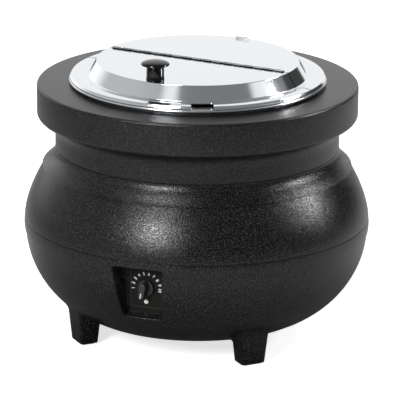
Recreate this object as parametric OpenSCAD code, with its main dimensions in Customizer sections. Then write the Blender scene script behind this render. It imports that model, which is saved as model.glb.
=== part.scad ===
// Countertop soup kettle: a pot-bellied moulded body on four feet holds a spun water well,
// a lift-out inset pot and a two-piece hinged lid.  Front is -Y, the floor is z = 0.

/* [Body shells] */
// Width of the rim ring's flat top outside the water well's flange
ring_land = 37.4; // [32:0.1:45]
// Height of the rim ring's upright band, top fillet and bottom roll included
band_h = 37.8; // [30:0.1:44]
// Radius of the fillet round the top of the rim ring
ring_fillet_r = 3; // [1:0.5:6]
// Radius of the roll round the bottom of the rim ring
ring_roll_r = 5; // [2:0.5:8]
// How far the neck stands in from the rim ring
neck_inset = 20.2; // [15:0.1:23]
// Height from the neck seam up to the bottom of the rim ring
neck_h = 34.9; // [28:0.1:42]
// Height of the curve between the rim ring and the neck
neck_curve_h = 19.5; // [10:0.5:24]
// How far the shoulder flares out from the neck
shoulder_flare = 14.5; // [8:0.1:20]
// Height of the flared shoulder
shoulder_h = 21.4; // [16:0.1:28]
// Width of the step under the shoulder's edge
shoulder_step = 1.4; // [0.5:0.1:2.5]
// How far the belly swells out from the shoulder's edge
belly_swell = 20.1; // [15:0.1:30]
// Height from the belly seam up to the shoulder's edge
belly_h = 57.9; // [45:0.1:75]
// Height of the belt under the belly seam
belt_h = 15.4; // [8:0.1:22]
// How far the belt stands out from the bowl under it
belt_step = 1; // [0.4:0.1:2]
// How far the belt bulges between its lower edge and the belly seam
belt_bulge = 0.6; // [0:0.1:1.5]
// Distance from the belly seam down to the height at which the bowl is widest
widest_drop = 9; // [4:0.5:14]
// Height from the bowl's flat bottom up to the belly seam
bowl_h = 107; // [100:0.5:116]
// Radius at which the bowl's bottom turns flat
bottom_r = 129.5; // [124:0.5:136]
// Depth of the curve that the bowl's side follows, as a share of the depth of the side itself
bowl_round = 1.1; // [1.04:0.01:1.2]
// Clear height under the bowl
stand_h = 26; // [20:0.5:38]
// Wall of the moulded shells
shell_t = 3.6; // [3:0.1:4.5]
// Height of the lip that laps each shell seam
lip_h = 6; // [4:0.5:9]
// Wall of the lip that laps each shell seam
lip_t = 2.6; // [2:0.1:3.5]
// Clearance of the lip inside the shell that it centres
lip_clear = 0.4; // [0.2:0.1:0.8]

/* [Feet] */
// Distance from the kettle's axis to a foot's outer face at the floor
foot_reach = 147.3; // [135:0.5:155]
// Width of a foot at the floor
foot_w = 28; // [22:0.5:34]
// Depth of a foot at the floor
foot_d = 20.8; // [16:0.1:26]
// How much a foot widens on each side on the way up to the bowl
foot_flare = 3.4; // [0:0.1:6]
// Radius of a foot's upright edges
foot_edge_r = 3; // [1:0.5:5]
// Thickness of the rubber pads
pad_t = 3; // [2:0.5:5]
// How far a pad stands out under its foot
pad_proud = 1.2; // [0.5:0.1:1.8]
// Width of the foot's rim round its pad
pad_rim = 2.6; // [2:0.1:4]

/* [Water well] */
// Inner radius of the water well
well_r = 133.4; // [131:0.1:135]
// Radius between the well's wall and its bottom
well_corner_r = 28; // [15:1:40]
// Width of the well's flange
well_flange_w = 7.2; // [5:0.1:10]
// Sheet of the water well
well_t = 1.2; // [0.8:0.1:1.5]
// Share of the gap between the well and the shells' lips that the insulation sleeve fills
sleeve_fill = 0.7; // [0.4:0.05:0.9]
// Height of the insulation sleeve
sleeve_h = 150; // [100:1:170]

/* [Heater] */
// Radius of the aluminium plate that spreads the heat
spreader_r = 72; // [66:0.5:78]
// Thickness of the heat spreader
spreader_t = 3; // [2:0.5:4]
// Radius of the ring that the heating element is bent to
element_ring_r = 60; // [50:0.5:64]
// Radius of the heating element's tube
element_tube_r = 3.5; // [3:0.1:4]
// Thickness of the insulating pad under the element
heat_pad_t = 6; // [4:0.5:7]
// Gap between the insulating pad and the heat shield's edge
shield_clear = 2.8; // [1:0.1:5]
// Sheet of the heat shield and of the base plate
steel_t = 1.2; // [0.8:0.1:1.5]
// Height of the heat shield's turned-up edge
shield_edge_h = 10; // [5:0.5:14]
// Radius of the stud that clamps the heater and the base plate
stud_r = 3; // [2.5:0.1:4]
// Clear height between the base plate and the heat shield
base_gap = 16.4; // [13:0.1:20]
// Width of the stud's nuts across their corners
nut_w = 11.6; // [10:0.1:14]
// Height of the stud's nuts
nut_h = 4; // [3:0.1:5]

/* [Base plate] */
// Radius of the base plate
base_plate_r = 88; // [82:0.5:96]
// How far the base plate laps the edge of the opening that it closes
plate_lap = 8; // [7:0.5:12]
// Number of base screws
base_screw_n = 4; // [3:1:8]
// Shank radius of a base screw
base_screw_r = 1.75; // [1.5:0.05:2]
// Number of vent slots in the base plate
vent_n = 8; // [6:2:12]
// Length of a vent slot
vent_l = 22; // [14:1:26]
// Width of a vent slot
vent_w = 3; // [2:0.5:5]

/* [Control recess] */
// Width of the recess at its upper edge
recess_top_w = 58.6; // [52:0.1:64]
// Width of the recess at its lower edge
recess_foot_w = 43.4; // [41:0.1:50]
// Height of the recess
recess_h = 61; // [56:0.5:62]
// Radius of the recess's corners
recess_corner_r = 4; // [2:0.5:7]
// Distance from the belly seam down to the recess's upper edge
recess_drop = 8; // [7:0.5:14]
// Gap between the thermostat's case and the water well
case_gap = 5.4; // [3:0.1:7]
// Wall of the recess
recess_t = 2.4; // [2:0.1:3]
// Width of the bare panel between the printed dial plate and the recess's lower corners
dial_side = 2.7; // [1.5:0.1:4]
// Height of the bare panel over and under the printed dial plate
dial_edge = 3; // [1:0.5:5]
// Thickness of the printed dial plate
dial_plate_t = 0.6; // [0.4:0.1:1]
// Distance from the recess's upper edge down to the knob's axis
knob_drop = 30; // [27:0.5:31]
// Distance from the knob's axis down to the pilot lamp
lamp_drop = 16; // [14.5:0.5:18]

/* [Thermostat] */
// Radius of the control knob's skirt
skirt_r = 9; // [8.5:0.1:10]
// Thickness of the control knob's skirt
skirt_t = 3.6; // [3:0.1:4.5]
// Length of the control knob's grip bar
grip_l = 17.6; // [16:0.1:19]
// Width of the control knob's grip bar
grip_w = 7; // [6.8:0.1:8]
// Height of the control knob's grip bar over its skirt
grip_h = 12.4; // [8:0.1:14]
// Angle from straight down to the knob's pointer at its off stop
off_angle = 10; // [0:1:20]
// Gap between the knob's skirt and the dial plate
skirt_gap = 0.5; // [0.3:0.1:1]
// Radius of the thermostat's shaft
shaft_r = 3; // [2.5:0.1:3.2]
// Clearance between the shaft and its bush
shaft_clear = 0.05; // [0.02:0.01:0.1]
// Radius of the thermostat's threaded bush
bush_r = 4.6; // [4.2:0.1:5]
// Width and height of the thermostat's case
thermostat_w = 32; // [26:0.5:34]
// Depth of the thermostat's case
thermostat_d = 17; // [14:0.5:18]
// Radius of the sensing bulb on the well's wall
bulb_r = 3; // [2:0.1:3.5]
// Length of the sensing bulb
bulb_l = 60; // [40:1:80]
// Radius of the pilot lamp's lens
lamp_r = 2.5; // [2:0.1:3]

/* [Inset pot] */
// Gap between the inset pot and the wall of the water well
pot_gap = 6.5; // [4:0.1:12]
// Depth of the inset pot
inset_depth = 205; // [180:1:208]
// Radius between the pot's wall and its bottom
inset_corner_r = 30; // [15:1:45]
// How far the pot's rolled rim stands out over the well's flange
rim_overhang = 2; // [1:0.1:4]
// Radius of the roll at the edge of the pot's rim
rim_roll_r = 2.6; // [2:0.1:3.5]
// Sheet of the inset pot
inset_t = 0.9; // [0.7:0.1:1.2]
// Clearance between the inset pot's rim and the well's flange, and between lid and rim
seat_clear = 0.3; // [0.2:0.1:0.6]

/* [Lid] */
// How far the lid's edge stands in from the edge of the pot's rim
lid_setback = 0.8; // [0:0.1:2]
// Width of the lid's flange
flange_w = 20.3; // [16:0.1:24]
// Width of the lid's bevel
bevel_w = 9.7; // [7:0.1:14]
// Height of the lid from its edge up to its flat plate
lid_h = 19.1; // [16:0.1:24]
// Height of the valley round the bevel's foot over the lid's edge
valley_h = 3.2; // [2:0.1:5]
// Height of the flange's crest over the lid's edge
crest_h = 4.4; // [3:0.1:6]
// Sheet of the lid
lid_t = 1; // [0.8:0.1:1.2]
// How far the lid is turned about the kettle's axis
lid_turn = -8.5; // [-45:0.5:45]
// Gap between the lid's two halves
split_gap = 1; // [0.6:0.1:2]
// Width of the ladle notch
notch_w = 24; // [16:0.5:32]
// Depth of the ladle notch
notch_d = 17; // [13:0.5:20]
// Angle from the lid's front round to the ladle notch
notch_angle = 30; // [15:1:60]
// Radius of the ladle notch's corners
notch_corner_r = 2.6; // [1:0.1:5]
// Width of the stop tab at the rear of the plate
tab_w = 15.5; // [10:0.5:25]
// Height of the stop tab over the plate
tab_h = 2.4; // [1.5:0.1:5]

/* [Lid hinge] */
// Distance from the lid's centre forward to the hinge
hinge_offset = 2; // [0:0.5:6]
// Radius of the hinge's barrel
barrel_r = 1.8; // [1.5:0.1:2.2]
// Radius of the hinge's pin
pin_r = 0.9; // [0.7:0.1:1.1]
// Clearance between the pin and the knuckles' bore
pin_clear = 0.05; // [0.02:0.01:0.1]
// Number of knuckles, an odd number
knuckle_n = 17; // [9:2:21]
// Distance from each end of the hinge to the edge of the lid's plate
hinge_margin = 4.7; // [3:0.1:12]
// Gap between two knuckles
knuckle_gap = 0.4; // [0.2:0.1:0.8]
// Height of the pin's axis over the lid's plate
hinge_rise = 0.3; // [0:0.1:0.8]
// Gap between the barrel and the edges of the lid's plate
slot_clear = 0.5; // [0.3:0.1:1]
// Thickness of the hinge's leaves
leaf_t = 0.8; // [0.6:0.1:1]
// Width of a hinge leaf
leaf_w = 12; // [8:0.5:16]

/* [Lid knob] */
// Distance from the edge of the lid's plate in to the knob's axis
knob_margin = 13.8; // [12:0.1:30]
// Radius of the knob's cap
cap_r = 15.5; // [13:0.1:18]
// Height of the knob
knob_h = 21; // [20:0.5:30]
// Radius of the knob's stem
stem_r = 10.1; // [7:0.1:11]
// Radius of the screw that holds the knob
knob_screw_r = 2.5; // [2:0.1:3]

/* [Cord gland] */
// Height of the cord gland over the floor
gland_z = 78; // [66:1:95]
// Radius of the gland's flange
gland_r = 11; // [9:0.5:14]
// Radius of the gland's passage
gland_bore_r = 4; // [3:0.1:5]

/* [Hidden] */
$fn = 96;
eps = 0.01;

// Radii, from the water well out
well_outer_r = well_r + well_t;
well_flange_r = well_r + well_flange_w;
ring_r = well_flange_r + ring_land;
neck_r = ring_r - neck_inset;
shoulder_r = neck_r + shoulder_flare;
belly_r = shoulder_r + belly_swell;
bowl_wide_r = belly_r - belt_step;
base_hole_r = base_plate_r - plate_lap;

// Radii of the pot and the lid
inset_r = well_r - pot_gap - inset_t;
inset_rim_r = well_flange_r + rim_overhang;
lid_r = inset_rim_r - lid_setback;
bevel_foot_r = lid_r - flange_w;
plate_r = bevel_foot_r - bevel_w;
knob_reach = plate_r - knob_margin;

// Heights, from the floor up
bowl_z = stand_h;
seam_z = bowl_z + bowl_h;
widest_z = seam_z - widest_drop;
shoulder_z = seam_z + belly_h;
neck_z = shoulder_z + shoulder_h;
band_z = neck_z + neck_h;
ring_z = band_z + band_h;
base_plate_z = bowl_z;
plate_recess = steel_t + 0.3;
shield_z = base_plate_z + steel_t + base_gap;
heat_pad_z = shield_z + steel_t;
element_z = heat_pad_z + heat_pad_t + element_tube_r;
spreader_z = element_z + element_tube_r;
well_z = spreader_z + spreader_t + well_t;
rim_z = ring_z + seat_clear + 2 * rim_roll_r;
pot_z = rim_z - inset_depth;
lid_z = rim_z + seat_clear;
plate_z = lid_z + lid_h;
hinge_z = plate_z + hinge_rise;

// Control recess
recess_top_z = seam_z - recess_drop;
recess_mid_z = recess_top_z - recess_h / 2;
knob_z = recess_top_z - knob_drop;
lamp_z = knob_z - lamp_drop;
panel_t = 3;
panel_y = well_outer_r + case_gap + thermostat_d + panel_t;
dial_plate_w = recess_foot_w - 2 * dial_side;
dial_plate_h = recess_h - 2 * dial_edge;
lamp_body_r = lamp_r + 0.9;
case_mid_z = lamp_z + lamp_body_r + 1 + thermostat_w / 2;
dial_y = panel_y + dial_plate_t;
bush_nut_t = 1.6;
bush_nut_r = bush_r + 1.8;
bush_y = dial_y + bush_nut_t + 0.4;
skirt_y = dial_y + skirt_gap;
skirt_front_y = skirt_y + skirt_t;
grip_y = skirt_front_y + grip_h;
shaft_inner_y = panel_y - panel_t - thermostat_d + 4;
shaft_outer_y = skirt_front_y + grip_h / 2;
hub_clear = 0.6;

slot_half = barrel_r + slot_clear;
hinge_l = 2 * (sqrt(pow(plate_r, 2) - pow(hinge_offset, 2)) - hinge_margin);
knuckle_pitch = hinge_l / knuckle_n;
shield_r = spreader_r + shield_clear + steel_t;
sleeve_r = well_outer_r + 0.5;
neck_lip_r = neck_r - shell_t - lip_clear - lip_t;
sleeve_t = sleeve_fill * (neck_lip_r - sleeve_r);

// Points of an arc, or of a quarter of an ellipse, round [cx, cy]
function arc(cx, cy, rx, ry, from, to, n) =
    [for (i = [0 : n]) let (a = from + (to - from) * i / n) [cx + rx * cos(a), cy + ry * sin(a)]];
function unit(v) = v / norm(v);
function side(v) = [-v[1], v[0]];
function seg_normal(p, i) = side(unit(p[i + 1] - p[i]));
// Point i of the path p moved t to the left of its course, mitred at the bends
function shifted(p, i, t) =
    i == 0 ? p[0] + t * seg_normal(p, 0)
    : i == len(p) - 1 ? p[i] + t * seg_normal(p, i - 1)
    : let (a = seg_normal(p, i - 1), b = seg_normal(p, i)) p[i] + t * (a + b) / (1 + a * b);
// Outline of a sheet of thickness t on the left of the path p
function sheet(p, t) = concat(p, [for (i = [len(p) - 1 : -1 : 0]) shifted(p, i, t)]);

function reversed(p) = [for (i = [len(p) - 1 : -1 : 0]) p[i]];
// Corners of the convex outline p, rounded to the radius r
function rounded(p, r) = [for (i = [0 : len(p) - 1])
    let (b = p[i], u = unit(p[(i + len(p) - 1) % len(p)] - b), v = unit(p[(i + 1) % len(p)] - b),
         half = acos(u * v) / 2, mid = b + unit(u + v) * r / sin(half), d = r / tan(half))
    for (k = [0 : 6]) mid + r * unit((b + d * u - mid) * (1 - k / 6) + (b + d * v - mid) * k / 6)];

// The bowl's side follows an ellipse round [bowl_mid_r, widest_z]
bowl_b = (widest_z - bowl_z) * bowl_round;
bowl_a = (bowl_wide_r - bottom_r) / (1 - sqrt(1 - 1 / pow(bowl_round, 2)));
bowl_mid_r = bowl_wide_r - bowl_a;
// Outer radius of the bowl at the height z
function bowl_r_at(z) = bowl_mid_r + bowl_a * sqrt(1 - pow((widest_z - z) / bowl_b, 2));
// Height of the bowl's outside at the radius r
function bowl_z_at(r) = widest_z - bowl_b * sqrt(1 - pow((r - bowl_mid_r) / bowl_a, 2));
// Outline of the bowl's side, t inside its surface, from the flat bottom up to the height top_z
function bowl_side(t, top_z, n) = arc(bowl_mid_r, widest_z, bowl_a - t, bowl_b - t,
    -asin((widest_z - bowl_z - t) / (bowl_b - t)), asin((top_z - widest_z) / (bowl_b - t)), n);
// Outer radius of the upper belly at the share s of its height
belly_top_r = shoulder_r - shoulder_step;
belly_bend = 1.6;
function belly_r_at(s) = belly_r - (belly_r - belly_top_r) * pow(s, belly_bend);

// Spreads children round the kettle's axis, the first one at the angle start
module around(n, start = 0) {
    for (i = [0 : n - 1]) rotate([0, 0, start + i * 360 / n]) children();
}

// Rectangle with round corners, round the origin
module round_rect(w, h, r) {
    square([w - 2 * r, h], center = true);
    square([w, h - 2 * r], center = true);
    for (x = [-1, 1], y = [-1, 1]) translate([x * (w / 2 - r), y * (h / 2 - r)]) circle(r, $fn = 48);
}

// Stands a flat outline upright: its X stays X, its Y becomes Z, and it runs from -y0 to -y1
module upright(y0, y1) {
    translate([0, -y0, 0]) rotate([90, 0, 0]) linear_extrude(y1 - y0) children();
}

// Cylinder that lies along Y, from -y0 out to -y1
module rod(r, y0, y1, x = 0, z = 0, fn = 96) {
    translate([x, -y0, z]) rotate([90, 0, 0]) cylinder(r = r, h = y1 - y0, $fn = fn);
}

// Solid of the bowl, shrunk by t on the outside
module bowl_solid(t) {
    rotate_extrude() polygon(concat(
        [[0, seam_z], [0, bowl_z + t]], bowl_side(t, seam_z, 24)));
}

// Room of the recess, or with a margin its walls too, from -y0 out to -y1
module recess_prism(margin, y0, y1) {
    top = recess_top_w / 2 + margin;
    foot = recess_foot_w / 2 + margin;
    rise = recess_h / 2 + margin;
    translate([0, 0, recess_mid_z]) upright(y0, y1)
        polygon(rounded([[-top, rise], [-foot, -rise], [foot, -rise], [top, rise]], recess_corner_r + margin));
}

// One foot at the front, from its sole up into the bowl
foot_top_z = bowl_z_at(foot_reach + foot_flare + foot_edge_r / 2) + shell_t / 2;
module foot() {
    mid = foot_reach - foot_d / 2;
    hull() {
        translate([0, -mid, pad_proud]) linear_extrude(eps) round_rect(foot_w, foot_d, foot_edge_r);
        translate([0, -mid, foot_top_z]) linear_extrude(eps)
            round_rect(foot_w + 2 * foot_flare, foot_d + 2 * foot_flare, foot_edge_r);
    }
}

module pad_block(h, clear) {
    translate([0, -(foot_reach - foot_d / 2), 0]) linear_extrude(h)
        round_rect(foot_w - 2 * pad_rim + 2 * clear, foot_d - 2 * pad_rim + 2 * clear, foot_edge_r);
}

// Lip inside a seam at the height z, on a shell whose inner radius there is r
module seam_lip(r, z, lip_outer) {
    rotate_extrude() polygon([
        [lip_outer - lip_t, z - lip_h], [r + 0.5, z - lip_h - 2], [r + 0.5, z],
        [lip_outer, z], [lip_outer, z + lip_h], [lip_outer - lip_t, z + lip_h]]);
}

// Point of the belt's outside at the share s of its height
belt_z = seam_z - belt_h;
seam_bevel = 0.5;
belt_foot = [bowl_r_at(belt_z) + belt_step, belt_z + belt_step];
belt_top = [belly_r, seam_z - seam_bevel];
function belt_point(s) = belt_foot + (belt_top - belt_foot) * s + [belt_bulge * 4 * s * (1 - s), 0];

base_screw_ring_r = (base_plate_r + base_hole_r) / 2;
boss_r = 3.6;
boss_h = 9;
module lower_shell() {
    color("#2b2b2d") difference() {
        union() {
            rotate_extrude() polygon(concat(
                [[base_hole_r, bowl_z]], bowl_side(0, belt_z, 22),
                [for (i = [0 : 4]) belt_point(i / 4)],
                [[belly_r - seam_bevel, seam_z]],
                reversed(bowl_side(shell_t, seam_z, 16)), [[base_hole_r, bowl_z + shell_t]]));
            seam_lip(belly_r - shell_t, seam_z, belly_inner_r - lip_clear);
            intersection() {
                bowl_solid(0.5);
                recess_prism(recess_t, panel_y - panel_t, belly_r);
            }
            difference() {
                around(4, 45) foot();
                bowl_solid(shell_t - 0.5);
            }
            around(base_screw_n, 45) translate([0, -base_screw_ring_r, bowl_z + plate_recess])
                cylinder(r = boss_r, h = boss_h);
        }
        recess_prism(0, panel_y, belly_r + 5);
        rod(bush_r + 0.2, panel_y - panel_t - 1, panel_y + 1, z = knob_z);
        rod(lamp_r + 0.2, panel_y - panel_t - 1, panel_y + 1, z = lamp_z);
        around(4, 45) pad_block(pad_t + 0.1, 0.2);
        translate([0, 0, bowl_z - 1]) cylinder(r = base_plate_r + 0.4, h = plate_recess + 1);
        around(base_screw_n, 45) translate([0, -base_screw_ring_r, bowl_z - 1])
            cylinder(r = base_screw_r + 0.1, h = boss_h + plate_recess);
        gland_place() translate([0, 0, -gland_depth]) cylinder(r = gland_neck_r + 0.2, h = gland_depth * 2);
    }
}

// Inner radius of the upper shell at the top of the belly lip
belly_inner_r = belly_r_at(lip_h / belly_h) - shell_t;

module foot_pads() {
    color("#1c1c1c") around(4, 45) pad_block(pad_t, 0);
}

shoulder_bend = 1.75;
shoulder_edge = 0.6;
module upper_shell() {
    outer = concat(
        [for (i = [0 : 14]) let (s = i / 14) [belly_r_at(s), seam_z + s * belly_h]],
        [for (i = [0 : 10]) let (s = 1 - i / 10)
            [neck_r + (shoulder_r - neck_r) * pow(s, shoulder_bend), neck_z - (shoulder_h - shoulder_edge) * s]]);
    color("#2b2b2d") {
        rotate_extrude() polygon(concat(outer, [
            [neck_r - shell_t, neck_z], [neck_r - shell_t, neck_z - shoulder_h * 0.35],
            [belly_r_at(0.95) - shell_t - 2, shoulder_z - 0.05 * belly_h]],
            [for (i = [13 : -1 : 0]) let (s = i / 14) [belly_r_at(s) - shell_t, seam_z + s * belly_h]]));
        seam_lip(neck_r - shell_t, neck_z, neck_r - shell_t - lip_clear);
    }
}

well_hole_r = well_outer_r + 0.3;
module collar_ring() {
    roll = ring_roll_r;
    curve_a = ring_r - roll - neck_r;
    rib = shell_t;
    color("#333335") difference() {
        rotate_extrude() polygon(concat(
            [[well_hole_r, ring_z]],
            arc(ring_r - ring_fillet_r, ring_z - ring_fillet_r, ring_fillet_r, ring_fillet_r, 90, 0, 6),
            arc(ring_r - roll, band_z + roll, roll, roll, 0, -90, 8),
            arc(ring_r - roll, band_z - neck_curve_h, curve_a, neck_curve_h, 90, 180, 12),
            [[neck_r, neck_z], [neck_r - rib, neck_z]],
            arc(ring_r - roll, band_z - neck_curve_h, curve_a + rib, neck_curve_h + rib, 180, 90, 12),
            [[ring_r - rib, band_z + roll + rib], [ring_r - rib, ring_z - rib - 1]],
            [[well_hole_r, ring_z - rib - 1]]));
        translate([0, 0, ring_z - well_t]) cylinder(r = well_flange_r + 0.3, h = well_t + 1);
        translate([0, 0, ring_z - well_t - well_lip_r])
            cylinder(r1 = well_hole_r, r2 = well_hole_r + well_lip_r, h = well_lip_r);
    }
}

well_lip_r = 2;
module water_well() {
    path = concat(
        [[0, well_z]],
        arc(well_r - well_corner_r, well_z + well_corner_r, well_corner_r, well_corner_r, -90, 0, 12),
        arc(well_r + well_lip_r, ring_z - well_lip_r, well_lip_r, well_lip_r, 180, 90, 5),
        [[well_flange_r, ring_z]]);
    color("#c9ccd0") rotate_extrude() polygon(sheet(path, -well_t));
}

module well_insulation() {
    sleeve_z = ring_z - shell_t - 1.5 - sleeve_h;
    slot_w = recess_top_w + 2 * recess_t + 6;
    color("#e8dfc4") difference() {
        translate([0, 0, sleeve_z]) cylinder(r = sleeve_r + sleeve_t, h = sleeve_h);
        translate([0, 0, sleeve_z - 1]) cylinder(r = sleeve_r, h = sleeve_h + 2);
        translate([-slot_w / 2, -belly_r, sleeve_z - 1])
            cube([slot_w, belly_r, recess_top_z + recess_t + 6 - sleeve_z + 1]);
        translate([0, 0, sleeve_z - 1]) sensor_clearance(bulb_z + bulb_l + 6 - sleeve_z + 1);
    }
}

module heat_spreader() {
    color("#b9bcc0") translate([0, 0, spreader_z]) difference() {
        cylinder(r = spreader_r, h = spreader_t);
        translate([0, 0, -1]) cylinder(r = stud_r + 0.3, h = spreader_t + 2);
    }
}

leg_angle = 12;
module heating_element() {
    color("#6d6660") {
        translate([0, 0, element_z]) rotate([0, 0, 90 + leg_angle])
            rotate_extrude(angle = 360 - 2 * leg_angle) translate([element_ring_r, 0])
                circle(element_tube_r - 0.1, $fn = 48);
        for (a = [-leg_angle, leg_angle]) rotate([0, 0, 90 + a])
            translate([element_ring_r, 0, shield_z - 5])
                cylinder(r = element_tube_r - 0.1, h = element_z - shield_z + 5);
    }
}

module leg_holes(z, h) {
    for (a = [-leg_angle, leg_angle]) rotate([0, 0, 90 + a])
        translate([element_ring_r, 0, z]) cylinder(r = element_tube_r + 0.2, h = h);
}

module heater_pad() {
    color("#efe9da") difference() {
        translate([0, 0, heat_pad_z]) cylinder(r = spreader_r, h = heat_pad_t);
        translate([0, 0, heat_pad_z - 1]) cylinder(r = stud_r + 0.3, h = heat_pad_t + 2);
        leg_holes(heat_pad_z - 1, heat_pad_t + 2);
    }
}

module heat_shield() {
    color("#a9adb1") difference() {
        rotate_extrude() polygon([
            [stud_r + 0.3, shield_z], [shield_r, shield_z], [shield_r, shield_z + shield_edge_h],
            [shield_r - steel_t, shield_z + shield_edge_h], [shield_r - steel_t, shield_z + steel_t],
            [stud_r + 0.3, shield_z + steel_t]]);
        leg_holes(shield_z - 1, steel_t + 2);
    }
}

module clamp_stud() {
    color("#b0b3b6") translate([0, 0, base_plate_z - nut_h - 1.5])
        cylinder(r = stud_r, h = well_z - well_t - base_plate_z + nut_h + 1.5);
}

module hex_nut(z) {
    translate([0, 0, z]) difference() {
        cylinder(r = nut_w / 2, h = nut_h, $fn = 6);
        translate([0, 0, -1]) cylinder(r = stud_r + 0.1, h = nut_h + 2);
    }
}

module clamp_nuts() {
    color("#b0b3b6") {
        hex_nut(shield_z - nut_h);
        hex_nut(base_plate_z - nut_h);
    }
}

module base_plate() {
    color("#9da1a5") translate([0, 0, base_plate_z]) difference() {
        cylinder(r = base_plate_r, h = steel_t);
        translate([0, 0, -1]) cylinder(r = stud_r + 0.3, h = steel_t + 2);
        around(base_screw_n, 45) translate([0, -base_screw_ring_r, -1])
            cylinder(r = base_screw_r + 0.2, h = steel_t + 2);
        around(vent_n, 90 / vent_n) translate([0, -base_hole_r * 0.45, -1])
            linear_extrude(steel_t + 2) round_rect(vent_w, vent_l, vent_w / 2 - eps);
    }
}

module base_screws() {
    color("#b0b3b6") around(base_screw_n, 45) translate([0, -base_screw_ring_r, 0]) {
        translate([0, 0, base_plate_z - 2]) cylinder(r = base_screw_r * 2, h = 2);
        translate([0, 0, base_plate_z - eps]) cylinder(r = base_screw_r, h = boss_h);
    }
}

module dial_plate() {
    color("#23241f") difference() {
        translate([0, 0, recess_mid_z]) upright(panel_y, dial_y) round_rect(dial_plate_w, dial_plate_h, 1.5);
        rod(bush_r + 0.2, panel_y - 1, dial_y + 1, z = knob_z);
        rod(lamp_r + 0.2, panel_y - 1, dial_y + 1, z = lamp_z);
    }
}

module thermostat_case() {
    back_y = panel_y - panel_t - thermostat_d;
    color("#d9d4c6") difference() {
        union() {
            translate([0, 0, case_mid_z]) upright(back_y, panel_y - panel_t)
                round_rect(thermostat_w, thermostat_w, 2);
            rod(bush_r, panel_y - panel_t - eps, bush_y, z = knob_z);
        }
        rod(shaft_r + shaft_clear, shaft_inner_y - 0.3, bush_y + 1, z = knob_z);
    }
}

module bush_nut() {
    color("#b0b3b6") difference() {
        rod(bush_nut_r, dial_y, dial_y + bush_nut_t, z = knob_z, fn = 6);
        rod(bush_r + 0.1, dial_y - 1, dial_y + bush_nut_t + 1, z = knob_z);
    }
}

// The bulb stands against the well's wall, to the right of the thermostat
bulb_angle = 28;
bulb_z = knob_z + 12;
bulb_place_r = well_outer_r + bulb_r + 0.2;
module sensing_bulb() {
    color("#b5733c") rotate([0, 0, bulb_angle]) translate([0, -bulb_place_r, bulb_z])
        cylinder(r = bulb_r, h = bulb_l);
}

module sensor_clearance(h) {
    rotate([0, 0, bulb_angle]) translate([0, -bulb_place_r, 0]) cylinder(r = bulb_r + 1.5, h = h);
}

capillary_r = 0.9;
module capillary_tube() {
    start_angle = asin((thermostat_w / 2) / bulb_place_r);
    color("#b5733c") translate([0, 0, bulb_z - capillary_r])
        rotate([0, 0, start_angle - 90]) rotate_extrude(angle = bulb_angle - start_angle)
            translate([bulb_place_r, 0]) circle(capillary_r, $fn = 24);
}

lens_dome_h = 1;
module pilot_lamp_lens() {
    color("#f4f2ea") {
        rod(lamp_r, panel_y - panel_t, dial_y + 0.6, z = lamp_z);
        translate([0, -dial_y - 0.6, lamp_z]) rotate([90, 0, 0])
            cylinder(r1 = lamp_r, r2 = lamp_r * 0.6, h = lens_dome_h);
    }
}

module pilot_lamp_body() {
    lead = 6;
    color("#e9e4d6") translate([0, -(panel_y - panel_t), lamp_z]) rotate([-90, 0, 0]) {
        cylinder(r = lamp_body_r, h = 2);
        translate([0, 0, 2]) cylinder(r = lamp_r, h = lead);
    }
}

cutout_r = 8;
cutout_h = 6;
module overheat_cutout() {
    color("#3a3a3c") translate([spreader_r / 2, 0, shield_z - cutout_h]) {
        cylinder(r = cutout_r, h = cutout_h);
        for (x = [-5, 5]) translate([x - 2.5, -0.4, -2]) cube([5, 0.8, 2]);
    }
}

terminal_n = 3;
terminal_pitch = 10;
terminal_d = 12;
terminal_h = 8;
module terminal_block() {
    color("#efe9d8") translate([-terminal_n * terminal_pitch / 2, -element_ring_r, base_plate_z + steel_t])
        difference() {
            cube([terminal_n * terminal_pitch, terminal_d, terminal_h]);
            for (i = [0 : terminal_n - 1])
                translate([(i + 0.5) * terminal_pitch, terminal_d / 2, terminal_h - 5]) cylinder(r = 2, h = 6);
        }
}

// Cord gland: on the bowl's rear, square to its surface
gland_neck_r = 7;
gland_depth = 10;
gland_out = bowl_r_at(gland_z);
gland_tilt = atan2((widest_z - gland_z) / pow(bowl_b, 2), (gland_out - bowl_mid_r) / pow(bowl_a, 2));
module gland_place() {
    translate([0, gland_out, gland_z]) rotate([-90 - gland_tilt, 0, 0]) children();
}

module cord_gland() {
    color("#1c1c1c") gland_place() difference() {
        union() {
            translate([0, 0, 0.6]) cylinder(r1 = gland_r, r2 = gland_r - 1.5, h = 3);
            translate([0, 0, -gland_depth]) cylinder(r = gland_neck_r, h = gland_depth + 1);
        }
        translate([0, 0, -gland_depth - 1]) cylinder(r = gland_bore_r, h = gland_depth + 6);
    }
}

gland_nut_t = 3;
module gland_nut() {
    color("#1c1c1c") gland_place() translate([0, 0, -shell_t - 0.8 - gland_nut_t]) difference() {
        cylinder(r = gland_neck_r + 3, h = gland_nut_t, $fn = 6);
        translate([0, 0, -1]) cylinder(r = gland_neck_r + 0.1, h = gland_nut_t + 2);
    }
}

module thermostat_shaft() {
    color("#b0b3b6") rod(shaft_r, shaft_inner_y, shaft_outer_y, z = knob_z);
}

// Turns children with the control knob's grip, pointer down at 0
module at_dial() {
    translate([0, 0, knob_z]) rotate([0, off_angle, 0]) children();
}

module control_knob() {
    color("#1d1e1c") difference() {
        at_dial() {
            rod(skirt_r, skirt_y, skirt_front_y);
            upright(skirt_front_y - eps, grip_y) round_rect(grip_w, grip_l, grip_w / 2 - eps);
        }
        rod(bush_nut_r + hub_clear, skirt_y - 1, bush_y + 0.5, z = knob_z);
        rod(shaft_r, bush_y, shaft_outer_y, z = knob_z);
    }
}

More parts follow.
